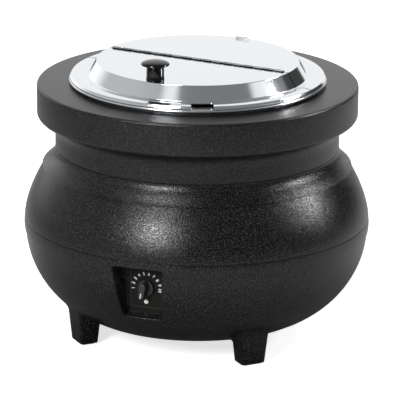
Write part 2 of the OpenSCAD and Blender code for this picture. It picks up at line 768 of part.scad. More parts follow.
pointer_w = 1;
pointer_l = 5.6;
module knob_pointer() {
    color("#e6e6e2") at_dial() translate([-pointer_w / 2, -grip_y - 0.15, -grip_l / 2 + 0.8])
        cube([pointer_w, 0.15, pointer_l]);
}

module inset_pot() {
    flange_edge = inset_rim_r - rim_roll_r;
    path = concat(
        [[0, pot_z]],
        arc(inset_r - inset_corner_r, pot_z + inset_corner_r, inset_corner_r, inset_corner_r, -90, 0, 12),
        arc(inset_r + 2, rim_z - 2, 2, 2, 180, 90, 5),
        arc(flange_edge, rim_z - rim_roll_r, rim_roll_r, rim_roll_r, 90, -120, 12));
    color("#cfd2d6") rotate_extrude() polygon(sheet(path, -inset_t));
}

// Turns children with the lid
module at_lid() {
    rotate([0, 0, lid_turn]) children();
}

// Outline of the lid's spun sheet
lid_path = concat(
    [[0, plate_z], [plate_r - 1.5, plate_z], [plate_r - 0.3, plate_z - 0.5]],
    [[bevel_foot_r - 0.8, lid_z + valley_h + 1], [bevel_foot_r, lid_z + valley_h]],
    [for (i = [0 : 6]) let (s = i / 6)
        [bevel_foot_r + 2 + s * (lid_r - bevel_foot_r - 5), lid_z + valley_h + (crest_h - valley_h) * sin(s * 120)]],
    [[lid_r - 0.8, lid_z + lid_t + 1], [lid_r, lid_z + lid_t * 0.4], [lid_r - 0.2, lid_z]]);
module lid_sheet() {
    rotate_extrude() polygon(sheet(lid_path, -lid_t));
}

module half_space(y0, y1) {
    translate([-lid_r - 5, y0, lid_z - 10]) cube([2 * lid_r + 10, y1 - y0, lid_h + 20]);
}

module hinge_slot() {
    translate([-hinge_l / 2 - slot_clear, -hinge_offset - slot_half, plate_z - 6])
        cube([hinge_l + 2 * slot_clear, 2 * slot_half, 20]);
}

module lid_rear_half() {
    color("#d5d8db") at_lid() difference() {
        intersection() {
            lid_sheet();
            half_space(-hinge_offset + split_gap / 2, lid_r + 5);
        }
        hinge_slot();
    }
}

module lid_front_half() {
    color("#d5d8db") at_lid() difference() {
        intersection() {
            lid_sheet();
            half_space(-lid_r - 5, -hinge_offset - split_gap / 2);
        }
        hinge_slot();
        rotate([0, 0, notch_angle]) translate([0, -lid_r - 10 + notch_d / 2, lid_z - 5])
            linear_extrude(lid_h) round_rect(notch_w, notch_d + 20, notch_corner_r);
        translate([0, -knob_reach, plate_z - 5]) cylinder(r = knob_screw_r + 0.2, h = 10);
    }
}

tab_t = 1.5;
module stop_tab() {
    color("#9a9da1") at_lid() translate([-tab_w / 2, plate_r - 5 - tab_t, plate_z]) cube([tab_w, tab_t, tab_h]);
}

// Places children at the start of knuckle i
module at_knuckle(i) {
    translate([-hinge_l / 2 + i * knuckle_pitch + knuckle_gap / 2, -hinge_offset, hinge_z]) children();
}

// One leaf of the hinge, with its knuckles: way is 1 for the rear leaf and -1 for the front leaf
module hinge_leaf(way, first) {
    leaf_top = plate_z - lid_t;
    knuckle_l = knuckle_pitch - knuckle_gap;
    inner = slot_half;
    at_lid() {
        difference() {
            union() {
                translate([-hinge_l / 2 + knuckle_gap / 2, -hinge_offset + (way > 0 ? inner : -inner - leaf_w),
                           leaf_top - leaf_t])
                    cube([hinge_l - knuckle_gap, leaf_w, leaf_t]);
                for (i = [first : 2 : knuckle_n - 1]) at_knuckle(i) {
                    rotate([0, 90, 0]) cylinder(r = barrel_r, h = knuckle_l);
                    translate([0, way > 0 ? 0 : -inner - eps, leaf_top - leaf_t - hinge_z])
                        cube([knuckle_l, inner + eps, leaf_t]);
                }
            }
            translate([-hinge_l / 2 - 1, -hinge_offset, hinge_z]) rotate([0, 90, 0])
                cylinder(r = pin_r + pin_clear, h = hinge_l + 2);
        }
    }
}

module rear_hinge_leaf() {
    color("#a8abaf") hinge_leaf(1, 0);
}

module front_hinge_leaf() {
    color("#a8abaf") hinge_leaf(-1, 1);
}

module hinge_pin() {
    color("#8d9094") at_lid() translate([-hinge_l / 2 + knuckle_gap / 2, -hinge_offset, hinge_z])
        rotate([0, 90, 0]) cylinder(r = pin_r, h = hinge_l - knuckle_gap);
}

module lid_knob() {
    cap_h = knob_h * 0.24;
    cap_z = knob_h - cap_h;
    edge = 0.8;
    waist_r = stem_r - 0.4;
    under_h = 4;
    color("#151516") at_lid() translate([0, -knob_reach, plate_z]) difference() {
        rotate_extrude() polygon(concat(
            [[0, 0], [stem_r, 0], [waist_r, 1]],
            arc(cap_r - edge, cap_z - under_h, cap_r - edge - waist_r, under_h, 180, 90, 6),
            arc(cap_r - edge, cap_z + edge, edge, edge, -90, 0, 4),
            arc(0, cap_z + edge, cap_r, cap_h - edge, 8, 90, 12)));
        translate([0, 0, -1]) cylinder(r = knob_screw_r, h = knob_h * 0.5 + 1);
    }
}

module knob_screw() {
    head_h = 2;
    color("#b0b3b6") at_lid() translate([0, -knob_reach, plate_z - lid_t - head_h]) {
        cylinder(r = knob_screw_r * 2, h = head_h);
        cylinder(r = knob_screw_r, h = head_h + lid_t + knob_h * 0.5 - 0.5);
    }
}

lower_shell();
foot_pads();
upper_shell();
collar_ring();
water_well();
well_insulation();
heat_spreader();
heating_element();
heater_pad();
heat_shield();
clamp_stud();
clamp_nuts();
base_plate();
base_screws();
dial_plate();
thermostat_case();
bush_nut();
sensing_bulb();
capillary_tube();
pilot_lamp_lens();
pilot_lamp_body();
overheat_cutout();
terminal_block();
cord_gland();
gland_nut();
thermostat_shaft();
control_knob();
knob_pointer();
inset_pot();
lid_rear_half();
stop_tab();
rear_hinge_leaf();
hinge_pin();
lid_front_half();
front_hinge_leaf();
lid_knob();
knob_screw();
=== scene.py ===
"""Soup kettle: a pebbled resin body with a water well, a drop-in pot and a folding lid, dressed over its frame."""

import logging
import math
from dataclasses import dataclass, field
from enum import Enum

import bmesh
import bpy
from mathutils import Matrix, Quaternion, Vector


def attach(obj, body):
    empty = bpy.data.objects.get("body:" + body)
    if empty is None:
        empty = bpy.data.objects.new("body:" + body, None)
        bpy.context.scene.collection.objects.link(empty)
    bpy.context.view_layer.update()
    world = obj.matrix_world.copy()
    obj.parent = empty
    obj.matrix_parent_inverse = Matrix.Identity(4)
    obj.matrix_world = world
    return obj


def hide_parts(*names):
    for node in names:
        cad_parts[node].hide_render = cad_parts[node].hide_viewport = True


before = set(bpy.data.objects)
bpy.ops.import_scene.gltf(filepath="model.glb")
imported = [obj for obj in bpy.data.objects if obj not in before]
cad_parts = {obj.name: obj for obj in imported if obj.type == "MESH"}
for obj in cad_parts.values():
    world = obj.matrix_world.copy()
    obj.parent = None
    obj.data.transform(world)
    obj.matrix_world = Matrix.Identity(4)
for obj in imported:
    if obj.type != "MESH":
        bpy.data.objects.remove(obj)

Point = tuple[float, float]
Corner = tuple[float, float, float]
Direction = tuple[float, float, float]
MM = 0.001
ROUND_STEPS = 288
SHARP_EDGE = math.radians(32)
SAME_SPOT_MM = 1e-4
ON_AXIS_MM = 1e-6
LID_TURN = -8.5
LID_PLATE_Z = 309.9
RIM_Z = 285.0
CAMERA_AZIMUTH = 19.4
# Inputs of a Mix node, which have the same names for numbers and for colours.
SHARE, FIRST_NUMBER, SECOND_NUMBER, FIRST_COLOUR, SECOND_COLOUR = 0, 2, 3, 6, 7


class Body(str, Enum):
    """Bodies of the frame that pieces ride on."""

    BASE = "kettle_base"
    DIAL = "thermostat_dial"
    INSET = "inset"
    LID_REAR = "lid_rear"
    LID_FRONT = "lid_front"


class Slot(str, Enum):
    """Material slots of the record."""

    BODY = "body_resin"
    WELL = "well_steel"
    LID = "lid_steel"
    HINGE = "hinge_steel"
    PHENOLIC = "phenolic"
    DIAL_PRINT = "dial_print"
    DIAL_RESIN = "dial_resin"
    POINTER = "pointer_paint"
    LENS = "lamp_lens"


# ---------------------------------------------------------------- node helpers


def linear(colour: str) -> tuple[float, float, float, float]:
    """Turn an sRGB hex value into a linear colour.

    Args:
        colour: Colour as "#RRGGBB".

    Returns:
        Linear red, green, blue and an alpha of 1.
    """
    channels = [int(colour[i : i + 2], 16) / 255 for i in (1, 3, 5)]
    red, green, blue = (c / 12.92 if c <= 0.04045 else ((c + 0.055) / 1.055) ** 2.4 for c in channels)
    return red, green, blue, 1.0


def set_inputs(tree: bpy.types.NodeTree, node: bpy.types.Node, inputs: dict) -> None:
    """Set inputs of a node.

    Args:
        tree: Tree that the node is in.
        node: The node.
        inputs: Input names or numbers, each with its value or what feeds it: a socket, or a node whose first
            output in use does.
    """
    for key, value in inputs.items():
        if isinstance(value, bpy.types.Node):
            value = next(socket for socket in value.outputs if not socket.is_unavailable)
        if isinstance(value, bpy.types.NodeSocket):
            tree.links.new(value, node.inputs[key])
        else:
            node.inputs[key].default_value = value


def add_node(tree: bpy.types.NodeTree, kind: str, inputs: dict | None = None, **settings) -> bpy.types.Node:
    """Add one node to a tree, with its settings and links.

    Args:
        tree: Tree that gets the node.
        kind: Type name of the node.
        inputs: Its inputs, as set_inputs takes them.
        settings: Attributes of the node itself.

    Returns:
        The new node.
    """
    node = tree.nodes.new(kind)
    for key, value in settings.items():
        setattr(node, key, value)
    set_inputs(tree, node, inputs or {})
    return node


def span(ends: tuple[float, ...]) -> dict[str, float]:
    """Inputs of a range that starts from these ends."""
    return {"From Min": ends[0], "From Max": ends[1]}


# ---------------------------------------------------------------- outline and mesh helpers


def direction(azimuth: float, elevation: float = 0.0) -> Direction:
    """Work out a unit vector.

    Args:
        azimuth: Its turn round the kettle in degrees, 0 at the front and growing to the right.
        elevation: Its rise above the level in degrees.

    Returns:
        The vector, from the kettle outwards.
    """
    turn, rise = math.radians(azimuth), math.radians(elevation)
    return math.sin(turn) * math.cos(rise), -math.cos(turn) * math.cos(rise), math.sin(rise)


def turned(degrees: float, axis: str = "Z") -> Matrix:
    """Matrix that turns about an axis."""
    return Matrix.Rotation(math.radians(degrees), 4, axis)


def upright_frame(depth: float, height: float) -> Matrix:
    """Frame of a panel that faces the front: its X stays X, its Y becomes Z, its Z points to the front."""
    return Matrix.Translation((0, -depth, height)) @ turned(90, "X")


def shares(steps: int) -> list[float]:
    """Equal shares from 0 to 1."""
    return [i / steps for i in range(steps + 1)]


def circle(radius: float, steps: int) -> list[Point]:
    """Points at equal steps round the origin."""
    turns = [2 * math.pi * k / steps for k in range(steps)]
    return [(radius * math.cos(t), radius * math.sin(t)) for t in turns]


def arc(centre: Point, radii: Point, start: float, end: float, steps: int) -> list[Point]:
    """Points along an arc of an ellipse.

    Args:
        centre: Centre of the ellipse.
        radii: Its half axes.
        start: First angle in degrees.
        end: Last angle in degrees.
        steps: Number of equal steps.

    Returns:
        The points, both ends among them.
    """
    turns = [math.radians(start + (end - start) * share) for share in shares(steps)]
    return [(centre[0] + radii[0] * math.cos(t), centre[1] + radii[1] * math.sin(t)) for t in turns]


def bend(start: Vector, corner: Vector, end: Vector, steps: int) -> list[Vector]:
    """Points along the curve that rounds a corner."""
    return [start * (1 - t) ** 2 + corner * 2 * t * (1 - t) + end * t**2 for t in shares(steps)]


def softened(corners: list[Corner], closed: bool = False, steps: int = 5) -> list[Point]:
    """Outline with each corner rounded by its own radius.

    Args:
        corners: Corners as (x, y, radius); a radius of 0 keeps the corner sharp.
        closed: Whether the last corner runs back to the first.
        steps: Steps of each rounding.

    Returns:
        Points of the rounded outline.
    """
    points: list[Point] = []
    count = len(corners)
    longest = 0.49  # most of a side that one rounding takes, so that two never meet
    for i, (x, y, radius) in enumerate(corners):
        if radius <= 0 or (not closed and i in (0, count - 1)):
            points.append((x, y))
            continue
        here = Vector((x, y))
        back, ahead = (Vector(corners[j % count][:2]) - here for j in (i - 1, i + 1))
        reach = min(radius / math.tan(back.angle(ahead) / 2), back.length * longest, ahead.length * longest)
        start, end = here + back.normalized() * reach, here + ahead.normalized() * reach
        points += [(spot.x, spot.y) for spot in bend(start, here, end, steps)]
    return points


def round_rectangle(width: float, height: float, radius: float, steps: int = 8) -> list[Point]:
    """Outline of a rectangle with round corners, round the origin.

    Args:
        width: Size along X.
        height: Size along Y.
        radius: Corner radius.
        steps: Steps of each corner.

    Returns:
        Points of the outline, counter-clockwise.
    """
    points: list[Point] = []
    for x, y, start in ((1, 1, 0), (-1, 1, 90), (-1, -1, 180), (1, -1, 270)):
        centre = (x * (width / 2 - radius), y * (height / 2 - radius))
        points += arc(centre, (radius, radius), start, start + 90, steps)
    return points


def rectangle(low: Point, high: Point) -> list[Point]:
    """Outline of a rectangle between its lowest and its highest corner."""
    return [low, (high[0], low[1]), high, (low[0], high[1])]


def sheet(path: list[Point], thickness: float) -> list[Point]:
    """Section of a bent sheet.

    Args:
        path: Outer face of the sheet, as points.
        thickness: Thickness, measured to the right of the path's course.

    Returns:
        Closed outline: the path, then its offset on the way back.
    """
    spots = [Vector(p) for p in path]
    runs = [(after - spot).normalized() for spot, after in zip(spots, spots[1:])]
    sharpest = 0.5  # least cosine at a bend, which keeps the offset short there
    inner: list[Point] = []
    for spot, before, after in zip(spots, runs[:1] + runs, runs + runs[-1:]):
        mean = (before + after).normalized()
        side = Vector((mean.y, -mean.x)) / max(mean.dot(before), sharpest)
        offset = spot + side * thickness
        inner.append((max(offset.x, 0.0), offset.y))
    return list(path) + inner[::-1]


def nearest(line: list[Point], spot: Point) -> Point:
    """Point of a line that lies closest to a spot."""
    return min(line, key=lambda point: math.dist(point, spot))


def smooth_edges(data: bpy.types.Mesh) -> None:
    """Shade a mesh smooth, apart from its sharp edges."""
    data.shade_smooth()
    data.set_sharp_from_angle(angle=SHARP_EDGE)


def new_piece(name: str, mesh: bmesh.types.BMesh, place: Matrix | None = None) -> bpy.types.Object:
    """Turn a bmesh in millimetres into an object in metres.

    Args:
        name: Name of the object.
        mesh: Its geometry, freed here.
        place: Matrix in millimetres that moves the geometry to its place.

    Returns:
        The object, linked to the scene.
    """
    if place is not None:
        bmesh.ops.transform(mesh, matrix=place, verts=mesh.verts)
    bmesh.ops.remove_doubles(mesh, verts=mesh.verts, dist=SAME_SPOT_MM)
    bmesh.ops.scale(mesh, vec=(MM, MM, MM), verts=mesh.verts)
    bmesh.ops.recalc_face_normals(mesh, faces=mesh.faces)
    data = bpy.data.meshes.new(name)
    mesh.to_mesh(data)
    mesh.free()
    smooth_edges(data)
    piece = bpy.data.objects.new(name, data)
    bpy.context.scene.collection.objects.link(piece)
    return piece


def skin(mesh: bmesh.types.BMesh, rings: list[list], closed: bool = False) -> None:
    """Join each ring of vertices to the next with faces.

    Args:
        mesh: Mesh that gets the faces.
        rings: Rings with as many vertices each, or with a single one where the skin runs to a point.
        closed: Whether the last ring joins the first.
    """
    for low, high in zip(rings, rings[1:] + (rings[:1] if closed else [])):
        count = max(len(low), len(high))
        for k in range(count):
            after = (k + 1) % count
            loop = (low[k % len(low)], low[after % len(low)], high[after % len(high)], high[k % len(high)])
            corners = list(dict.fromkeys(loop))
            if len(corners) > 2:
                mesh.faces.new(corners)


def add_revolved(mesh: bmesh.types.BMesh, outline: list[Point], closed: bool, steps: int) -> None:
    """Spin an outline of (radius, height) round the Z axis into a mesh.

    Args:
        mesh: Mesh that gets the faces.
        outline: Points of the outline.
        closed: Whether the last point joins the first; both ends on the axis need no closing.
        steps: Facets round the axis.
    """
    rings = []
    for radius, height in outline:
        spots = [(0, 0)] if radius < ON_AXIS_MM else circle(radius, steps)
        rings.append([mesh.verts.new((x, y, height)) for x, y in spots])
    skin(mesh, rings, closed)


def revolved(
    name: str, outline: list[Point], closed: bool = True, steps: int = ROUND_STEPS, place: Matrix | None = None
) -> bpy.types.Object:
    """Make a round piece from its outline.

    Args:
        name: Name of the object.
        outline: Points of (radius, height) in millimetres.
        closed: Whether the outline closes on itself.
        steps: Facets round the axis.
        place: Matrix that moves it to its place.

    Returns:
        The piece.
    """
    mesh = bmesh.new()
    add_revolved(mesh, outline, closed, steps)
    return new_piece(name, mesh, place)


def add_prism(mesh: bmesh.types.BMesh, outline: list[Point], low: float, high: float, edge: float = 0.0) -> None:
    """Add an upright prism to a mesh.

    Args:
        mesh: Mesh that gets the faces.
        outline: Corners of the flat outline, in X and Y.
        low: Height of its bottom.
        high: Height of its top.
        edge: Width of the softened edge at its top.
    """
    turns = (0.0, 0.5, 1.05, math.pi / 2) if edge else (0.0,)
    levels = [(low, 0.0)] + [(high - edge * (1 - math.sin(t)), edge * (1 - math.cos(t))) for t in turns]
    centre = sum((Vector(p) for p in outline), Vector((0, 0))) / len(outline)
    rings = []
    for height, inset in levels:
        ring = []
        for i, p in enumerate(outline):
            spot = Vector(p)
            run = (Vector(outline[(i + 1) % len(outline)]) - Vector(outline[i - 1])).normalized()
            inward = Vector((-run.y, run.x))
            if inward.dot(centre - spot) < 0:
                inward.negate()
            ring.append(mesh.verts.new((*(spot + inward * inset), height)))
        rings.append(ring)
    skin(mesh, rings)
    mesh.faces.new(rings[0])
    mesh.faces.new(rings[-1])


def prism(
    name: str, outline: list[Point], low: float, high: float, place: Matrix, edge: float = 0.0
) -> bpy.types.Object:
    """Make a piece that is one prism.

    Args:
        name: Name of the object.
        outline: Corners of the flat outline, in X and Y.
        low: Height of its bottom.
        high: Height of its top.
        place: Matrix that moves it to its place.
        edge: Width of the softened edge at its top.

    Returns:
        The piece.
    """
    mesh = bmesh.new()
    add_prism(mesh, outline, low, high, edge)
    return new_piece(name, mesh, place)


def cut(piece: bpy.types.Object, tool: bpy.types.Object) -> None:
    """Take a solid away from a piece.

    Args:
        piece: Piece to change.
        tool: Solid that cuts it, which is used up.
    """
    modifier = piece.modifiers.new("cut", "BOOLEAN")
    modifier.operation, modifier.solver, modifier.object = "DIFFERENCE", "EXACT", tool
    bpy.context.view_layer.update()
    evaluated = piece.evaluated_get(bpy.context.evaluated_depsgraph_get())
    result = bpy.data.meshes.new_from_object(evaluated)
    piece.modifiers.clear()
    result.name = piece.name
    piece.data = result
    bpy.data.objects.remove(tool)
    smooth_edges(result)


# ---------------------------------------------------------------- finishes


@dataclass(frozen=True)
class Finish:
    """A finish of the real object, named for its material and how its surface was made."""

    name: str

    def material(self) -> bpy.types.Material:
        """Make this finish's material, or find it if it is made.

        Returns:
            The material.
        """
        made = bpy.data.materials.get(self.name)
        if made is None:
            made = bpy.data.materials.new(self.name)
            made.use_nodes = True
            tree = made.node_tree
            set_inputs(tree, tree.nodes["Principled BSDF"], self.surface(tree))
        return made

    def surface(self, tree: bpy.types.NodeTree) -> dict:
        """Add what the finish's look is worked out from.

        Args:
            tree: The material's node tree.

        Returns:
            Inputs of its Principled shader, as set_inputs takes them.
        """
        raise NotImplementedError

    def dress(self, *pieces: bpy.types.Object) -> None:
        """Give this finish to pieces, in place of what they have.

        Args:
            pieces: Objects with a mesh.
        """
        for piece in pieces:
            piece.data.materials.clear()
            piece.data.materials.append(self.material())


@dataclass(frozen=True)
class PebbledResin(Finish):
    """Moulded resin from an etched mould: round pebbles that break each highlight into grains."""

    colour: str = "#020202"
    # Colour of the paler flecks, which are painted glints.
    painted_glint: str = "#2C2C2E"
    roughness: float = 0.22
    ior: float = 1.38
    pebble_mm: float = 1.5
    pebble_height_mm: float = 0.24
    pebble_soft: float = 0.35
    dome_span: Point = (0.1, 0.75)
    wander_mm: float = 1.875
    # Painted glints: the real ones are finer; drawn this coarse so that they show.
    painted_glint_mm: float = 1.2
    painted_glint_span: Point = (0.48, 0.68)

    def surface(self, tree: bpy.types.NodeTree) -> dict:
        """Round Voronoi cells into pebbles of uneven height, with paler flecks as painted glints where their tops
        catch light.

        Args:
            tree: The material's node tree.

        Returns:
            Inputs of its Principled shader.
        """
        place = add_node(tree, "ShaderNodeTexCoord").outputs["Object"]
        wander = add_node(
            tree, "ShaderNodeTexNoise", {"Vector": place, "Scale": 1 / (self.wander_mm * MM), "Detail": 2.0}
        )
        cells = add_node(
            tree, "ShaderNodeTexVoronoi",
            {"Vector": place, "Scale": 1 / (self.pebble_mm * MM), "Smoothness": self.pebble_soft}, feature="SMOOTH_F1",
        )
        domes = add_node(
            tree, "ShaderNodeMapRange",
            {"Value": cells, **span(self.dome_span), "To Min": 1.0, "To Max": 0.0},
            interpolation_type="SMOOTHSTEP",
        )
        height = add_node(tree, "ShaderNodeMath", {0: domes, 1: wander}, operation="MULTIPLY")
        bump = add_node(
            tree, "ShaderNodeBump", {"Strength": 1.0, "Distance": self.pebble_height_mm * MM, "Height": height}
        )
        # Painted glints: a fine noise lays paler flecks on the resin's colour.
        painted_glints = add_node(
            tree, "ShaderNodeTexNoise", {"Vector": place, "Scale": 1 / (self.painted_glint_mm * MM), "Detail": 1.0}
        )
        tops = add_node(tree, "ShaderNodeMapRange", {"Value": painted_glints, **span(self.painted_glint_span)})
        tone = add_node(
            tree, "ShaderNodeMix",
            {SHARE: tops, FIRST_COLOUR: linear(self.colour), SECOND_COLOUR: linear(self.painted_glint)}, data_type="RGBA",
        )
        return {"Base Color": tone, "Normal": bump, "Roughness": self.roughness, "IOR": self.ior}


@dataclass(frozen=True)
class SpunStainless(Finish):
    """Stainless sheet spun over a former and buffed: a near mirror with faint rings round its axis."""

    colour: str
    roughness: float
    ring_mm: float = 0.9
    ring_height_mm: float = 0.0012
    cloud_mm: float = 1000 / 28
    cloud_span: Point = (0.3, 0.7)
    gloss_span: Point = (0.8, 1.25)

    def surface(self, tree: bpy.types.NodeTree) -> dict:
        """Let rings follow the distance from the axis, and cloudy buffing marks vary the gloss a little.

        Args:
            tree: The material's node tree.

        Returns:
            Inputs of its Principled shader.
        """
        place = add_node(tree, "ShaderNodeTexCoord").outputs["Object"]
        parts = add_node(tree, "ShaderNodeSeparateXYZ", {0: place}).outputs
        flat = add_node(tree, "ShaderNodeCombineXYZ", {0: parts[0], 1: parts[1]})
        reach = add_node(tree, "ShaderNodeVectorMath", {0: flat}, operation="LENGTH")
        track = add_node(tree, "ShaderNodeCombineXYZ", {0: reach, 1: parts[2]})
        rings = add_node(
            tree, "ShaderNodeTexNoise", {"Vector": track, "Scale": 1 / (self.ring_mm * MM), "Detail": 3.0}
        )
        clouds = add_node(
            tree, "ShaderNodeTexNoise", {"Vector": place, "Scale": 1 / (self.cloud_mm * MM), "Detail": 2.0}
        )
        low, high = (self.roughness * share for share in self.gloss_span)
        gloss = add_node(
            tree, "ShaderNodeMapRange", {"Value": clouds, **span(self.cloud_span), "To Min": low, "To Max": high}
        )
        bump = add_node(
            tree, "ShaderNodeBump", {"Strength": 1.0, "Distance": self.ring_height_mm * MM, "Height": rings}
        )
        return {"Base Color": linear(self.colour), "Metallic": 1.0, "Roughness": gloss, "Normal": bump}


@dataclass(frozen=True)
class GrainedSurface(Finish):
    """A surface whose colour and height vary with a fine grain."""

    colour: str
    shade: str
    roughness: float
    grain_mm: float = 1.2
    grain_height_mm: float = 0.01
    grain_detail: float = 4.0
    stretch: tuple[float, float, float] = (1.0, 1.0, 1.0)

    def paint_crevice_shade(self, tree: bpy.types.NodeTree, own: bpy.types.Node, tone: bpy.types.Node) -> bpy.types.Node:
        """Paint shade in the surface's crevices: none here."""
        return tone

    def surface(self, tree: bpy.types.NodeTree) -> dict:
        """Let a noise, stretched along the way the surface was worked, vary colour and height.

        Args:
            tree: The material's node tree.

        Returns:
            Inputs of its Principled shader.
        """
        own = add_node(tree, "ShaderNodeTexCoord")
        drawn = add_node(tree, "ShaderNodeMapping", {"Vector": own.outputs["Object"], "Scale": self.stretch})
        grain = add_node(
            tree, "ShaderNodeTexNoise",
            {"Vector": drawn, "Scale": 1 / (self.grain_mm * MM), "Detail": self.grain_detail},
        )
        tone = add_node(
            tree, "ShaderNodeMix",
            {SHARE: grain, FIRST_COLOUR: linear(self.shade), SECOND_COLOUR: linear(self.colour)}, data_type="RGBA",
        )
        bump = add_node(
            tree, "ShaderNodeBump", {"Strength": 1.0, "Distance": self.grain_height_mm * MM, "Height": grain}
        )
        return {"Base Color": self.paint_crevice_shade(tree, own, tone), "Normal": bump, "Roughness": self.roughness}


@dataclass(frozen=True)
class GrainedMetal(GrainedSurface):
    """Metal with a fine even grain, from rolling, casting, drawing or plating."""

    # Height below which the hinge is painted in the shade of its slot; None paints no shade.
    crevice_mm: float | None = None
    crevice_edge_mm: float = 0.25
    crevice_shade_colour: str = "#17181A"
    downward_span: Point = (-0.5, -0.8)

    def paint_crevice_shade(self, tree: bpy.types.NodeTree, own: bpy.types.Node, tone: bpy.types.Node) -> bpy.types.Node:
        """Paint shade on what lies below the crevice's height, apart from faces that look down.

        Args:
            tree: The material's node tree.
            own: Node that gives the surface's own coordinates.
            tone: Node that gives the colour without painted shade.

        Returns:
            Node that gives the colour.
        """
        if self.crevice_mm is None:
            return tone
        height = add_node(tree, "ShaderNodeSeparateXYZ", {0: own.outputs["Object"]}).outputs[2]
        upright = add_node(tree, "ShaderNodeSeparateXYZ", {0: own.outputs["Normal"]}).outputs[2]
        edges = tuple((self.crevice_mm + side * self.crevice_edge_mm) * MM for side in (-1, 1))
        raised = add_node(tree, "ShaderNodeMapRange", {"Value": height, **span(edges)})
        beneath = add_node(tree, "ShaderNodeMapRange", {"Value": upright, **span(self.downward_span)})
        unshaded = add_node(tree, "ShaderNodeMath", {0: raised, 1: beneath}, operation="MAXIMUM")
        # Painted shade: the crevice colour below the height, apart from faces that look down.
        return add_node(
            tree, "ShaderNodeMix",
            {SHARE: unshaded, FIRST_COLOUR: linear(self.crevice_shade_colour), SECOND_COLOUR: tone}, data_type="RGBA",
        )

    def surface(self, tree: bpy.types.NodeTree) -> dict:
        """Make the grained surface a metal's."""
        return super().surface(tree) | {"Metallic": 1.0}


@dataclass(frozen=True)
class MouldedSurface(GrainedSurface):
    """A non-metal moulding: resin, phenolic, rubber, glazed or printed, smooth or with a fine grain."""

    grain_mm: float = 0.6
    grain_height_mm: float = 0.005
    grain_detail: float = 3.0
    ior: float = 1.5
    coat: float = 0.0
    passes_light: float = 0.0
    light_depth_mm: float = 2.0

    def surface(self, tree: bpy.types.NodeTree) -> dict:
        """Give the grained surface its gloss, its glaze and the light that it lets through.

        Args:
            tree: The material's node tree.

        Returns:
            Inputs of its Principled shader.
        """
        return super().surface(tree) | {
            "IOR": self.ior,
            "Coat Weight": self.coat,
            "Subsurface Weight": self.passes_light,
            "Subsurface Scale": self.light_depth_mm * MM,
        }


@dataclass(frozen=True)
class PaleFloor(Finish):
    """Matt painted floor, white to the eye, with painted shadow round the kettle: metal mirrors it greyer close to the
    kettle, and it glows less there.
    """

    colour: str = "#EDEDED"
    # Painted shadow: the grey that metal mirrors close to the kettle.
    painted_shadow_mirrored: str = "#6A6A6A"
    mirrored_far: str = "#D8D8D8"
    mirrored_span: Point = (0.12, 0.4)
    # Painted shadow: the floor glows less close to the kettle.
    painted_shadow_glow: float = 0.72
    glow_far: float = 0.98
    glow_span: Point = (0.25, 0.9)
    roughness: float = 0.9

    def surface(self, tree: bpy.types.NodeTree) -> dict:
        """Paint shadow round the kettle, fading outwards, by one course for mirrors and one for the eye.

        Args:
            tree: The material's node tree.

        Returns:
            Inputs of its Principled shader.
        """
        ray = add_node(tree, "ShaderNodeLightPath").outputs
        place = add_node(tree, "ShaderNodeTexCoord").outputs["Object"]
        reach = add_node(tree, "ShaderNodeVectorMath", {0: place}, operation="LENGTH")
        shade = add_node(
            tree, "ShaderNodeMapRange", {"Value": reach, **span(self.mirrored_span)},
            interpolation_type="SMOOTHSTEP",
        )
        mirrored = add_node(
            tree, "ShaderNodeMix",
            {SHARE: shade, FIRST_COLOUR: linear(self.painted_shadow_mirrored), SECOND_COLOUR: linear(self.mirrored_far)},
            data_type="RGBA",
        )
        tone = add_node(
            tree, "ShaderNodeMix",
            {SHARE: ray["Is Glossy Ray"], FIRST_COLOUR: linear(self.colour), SECOND_COLOUR: mirrored},
            data_type="RGBA",
        )
        fade = add_node(
            tree, "ShaderNodeMapRange",
            {"Value": reach, **span(self.glow_span), "To Min": self.painted_shadow_glow, "To Max": self.glow_far},
            interpolation_type="SMOOTHSTEP",
        )
        glow = add_node(tree, "ShaderNodeMath", {0: ray["Is Camera Ray"], 1: fade}, operation="MULTIPLY")
        return {
            "Base Color": tone,
            "Roughness": self.roughness,
            "Specular IOR Level": 0.0,
            "Emission Color": (1, 1, 1, 1),
            "Emission Strength": glow,
        }


# Rotomoulded body in dark resin; the etched pebble gives it a soft, broken sheen, and its paler flecks are painted
# glints.
BODY_RESIN = PebbledResin("pebbled_resin")
# Same mould grain on the rim ring, worn a little duller by hands and lids, with the same painted glints.
RING_RESIN = PebbledResin("pebbled_resin_rim", colour="#030303", painted_glint="#2D2D30", roughness=0.28)
# Lid: spun and buffed stainless, close to a mirror.
LID_STAINLESS = SpunStainless("spun_stainless_lid", colour="#E9ECEF", roughness=0.1)
# Well and pot: spun stainless left satin, so reflections are softer.
POT_STAINLESS = SpunStainless("spun_stainless_pot", colour="#DCDEE1", roughness=0.2, ring_height_mm=0.002)
# Rear leaf: rolled strip, satin, with painted shade low down between the knuckles, where the slot shades it.
HINGE_STAINLESS = GrainedMetal(
    "rolled_stainless_hinge", colour="#BDC0C3", shade="#9DA0A4", roughness=0.3, crevice_mm=310.85
)
# Front leaf: the same strip, painted greyer as a shaded copy of the rear leaf, which sets its knuckles off from the
# rear ones; it has the same painted shade low down.
FRONT_HINGE_STAINLESS = GrainedMetal(
    "rolled_stainless_hinge_front", colour="#9DA0A3", shade="#7D8084", roughness=0.34, crevice_mm=310.95
)
# Pin: drawn wire, dull with what gathers between the knuckles.
PIN_STAINLESS = GrainedMetal("drawn_stainless_pin", colour="#4A4B4D", shade="#2E2F30", roughness=0.5)
# Stop tab: sheared strip left as it was tumbled, so it stays pale from every side.
TAB_STAINLESS = GrainedMetal("tumbled_stainless_tab", colour="#C2C4C6", shade="#B0B2B4", roughness=0.6)
# Studs, nuts and screws: bright zinc plate, bluish with a soft shine.
ZINC_STEEL = GrainedMetal("zinc_plated_steel", colour="#C3C8CF", shade="#AEB2B4", roughness=0.32, grain_mm=2.5)
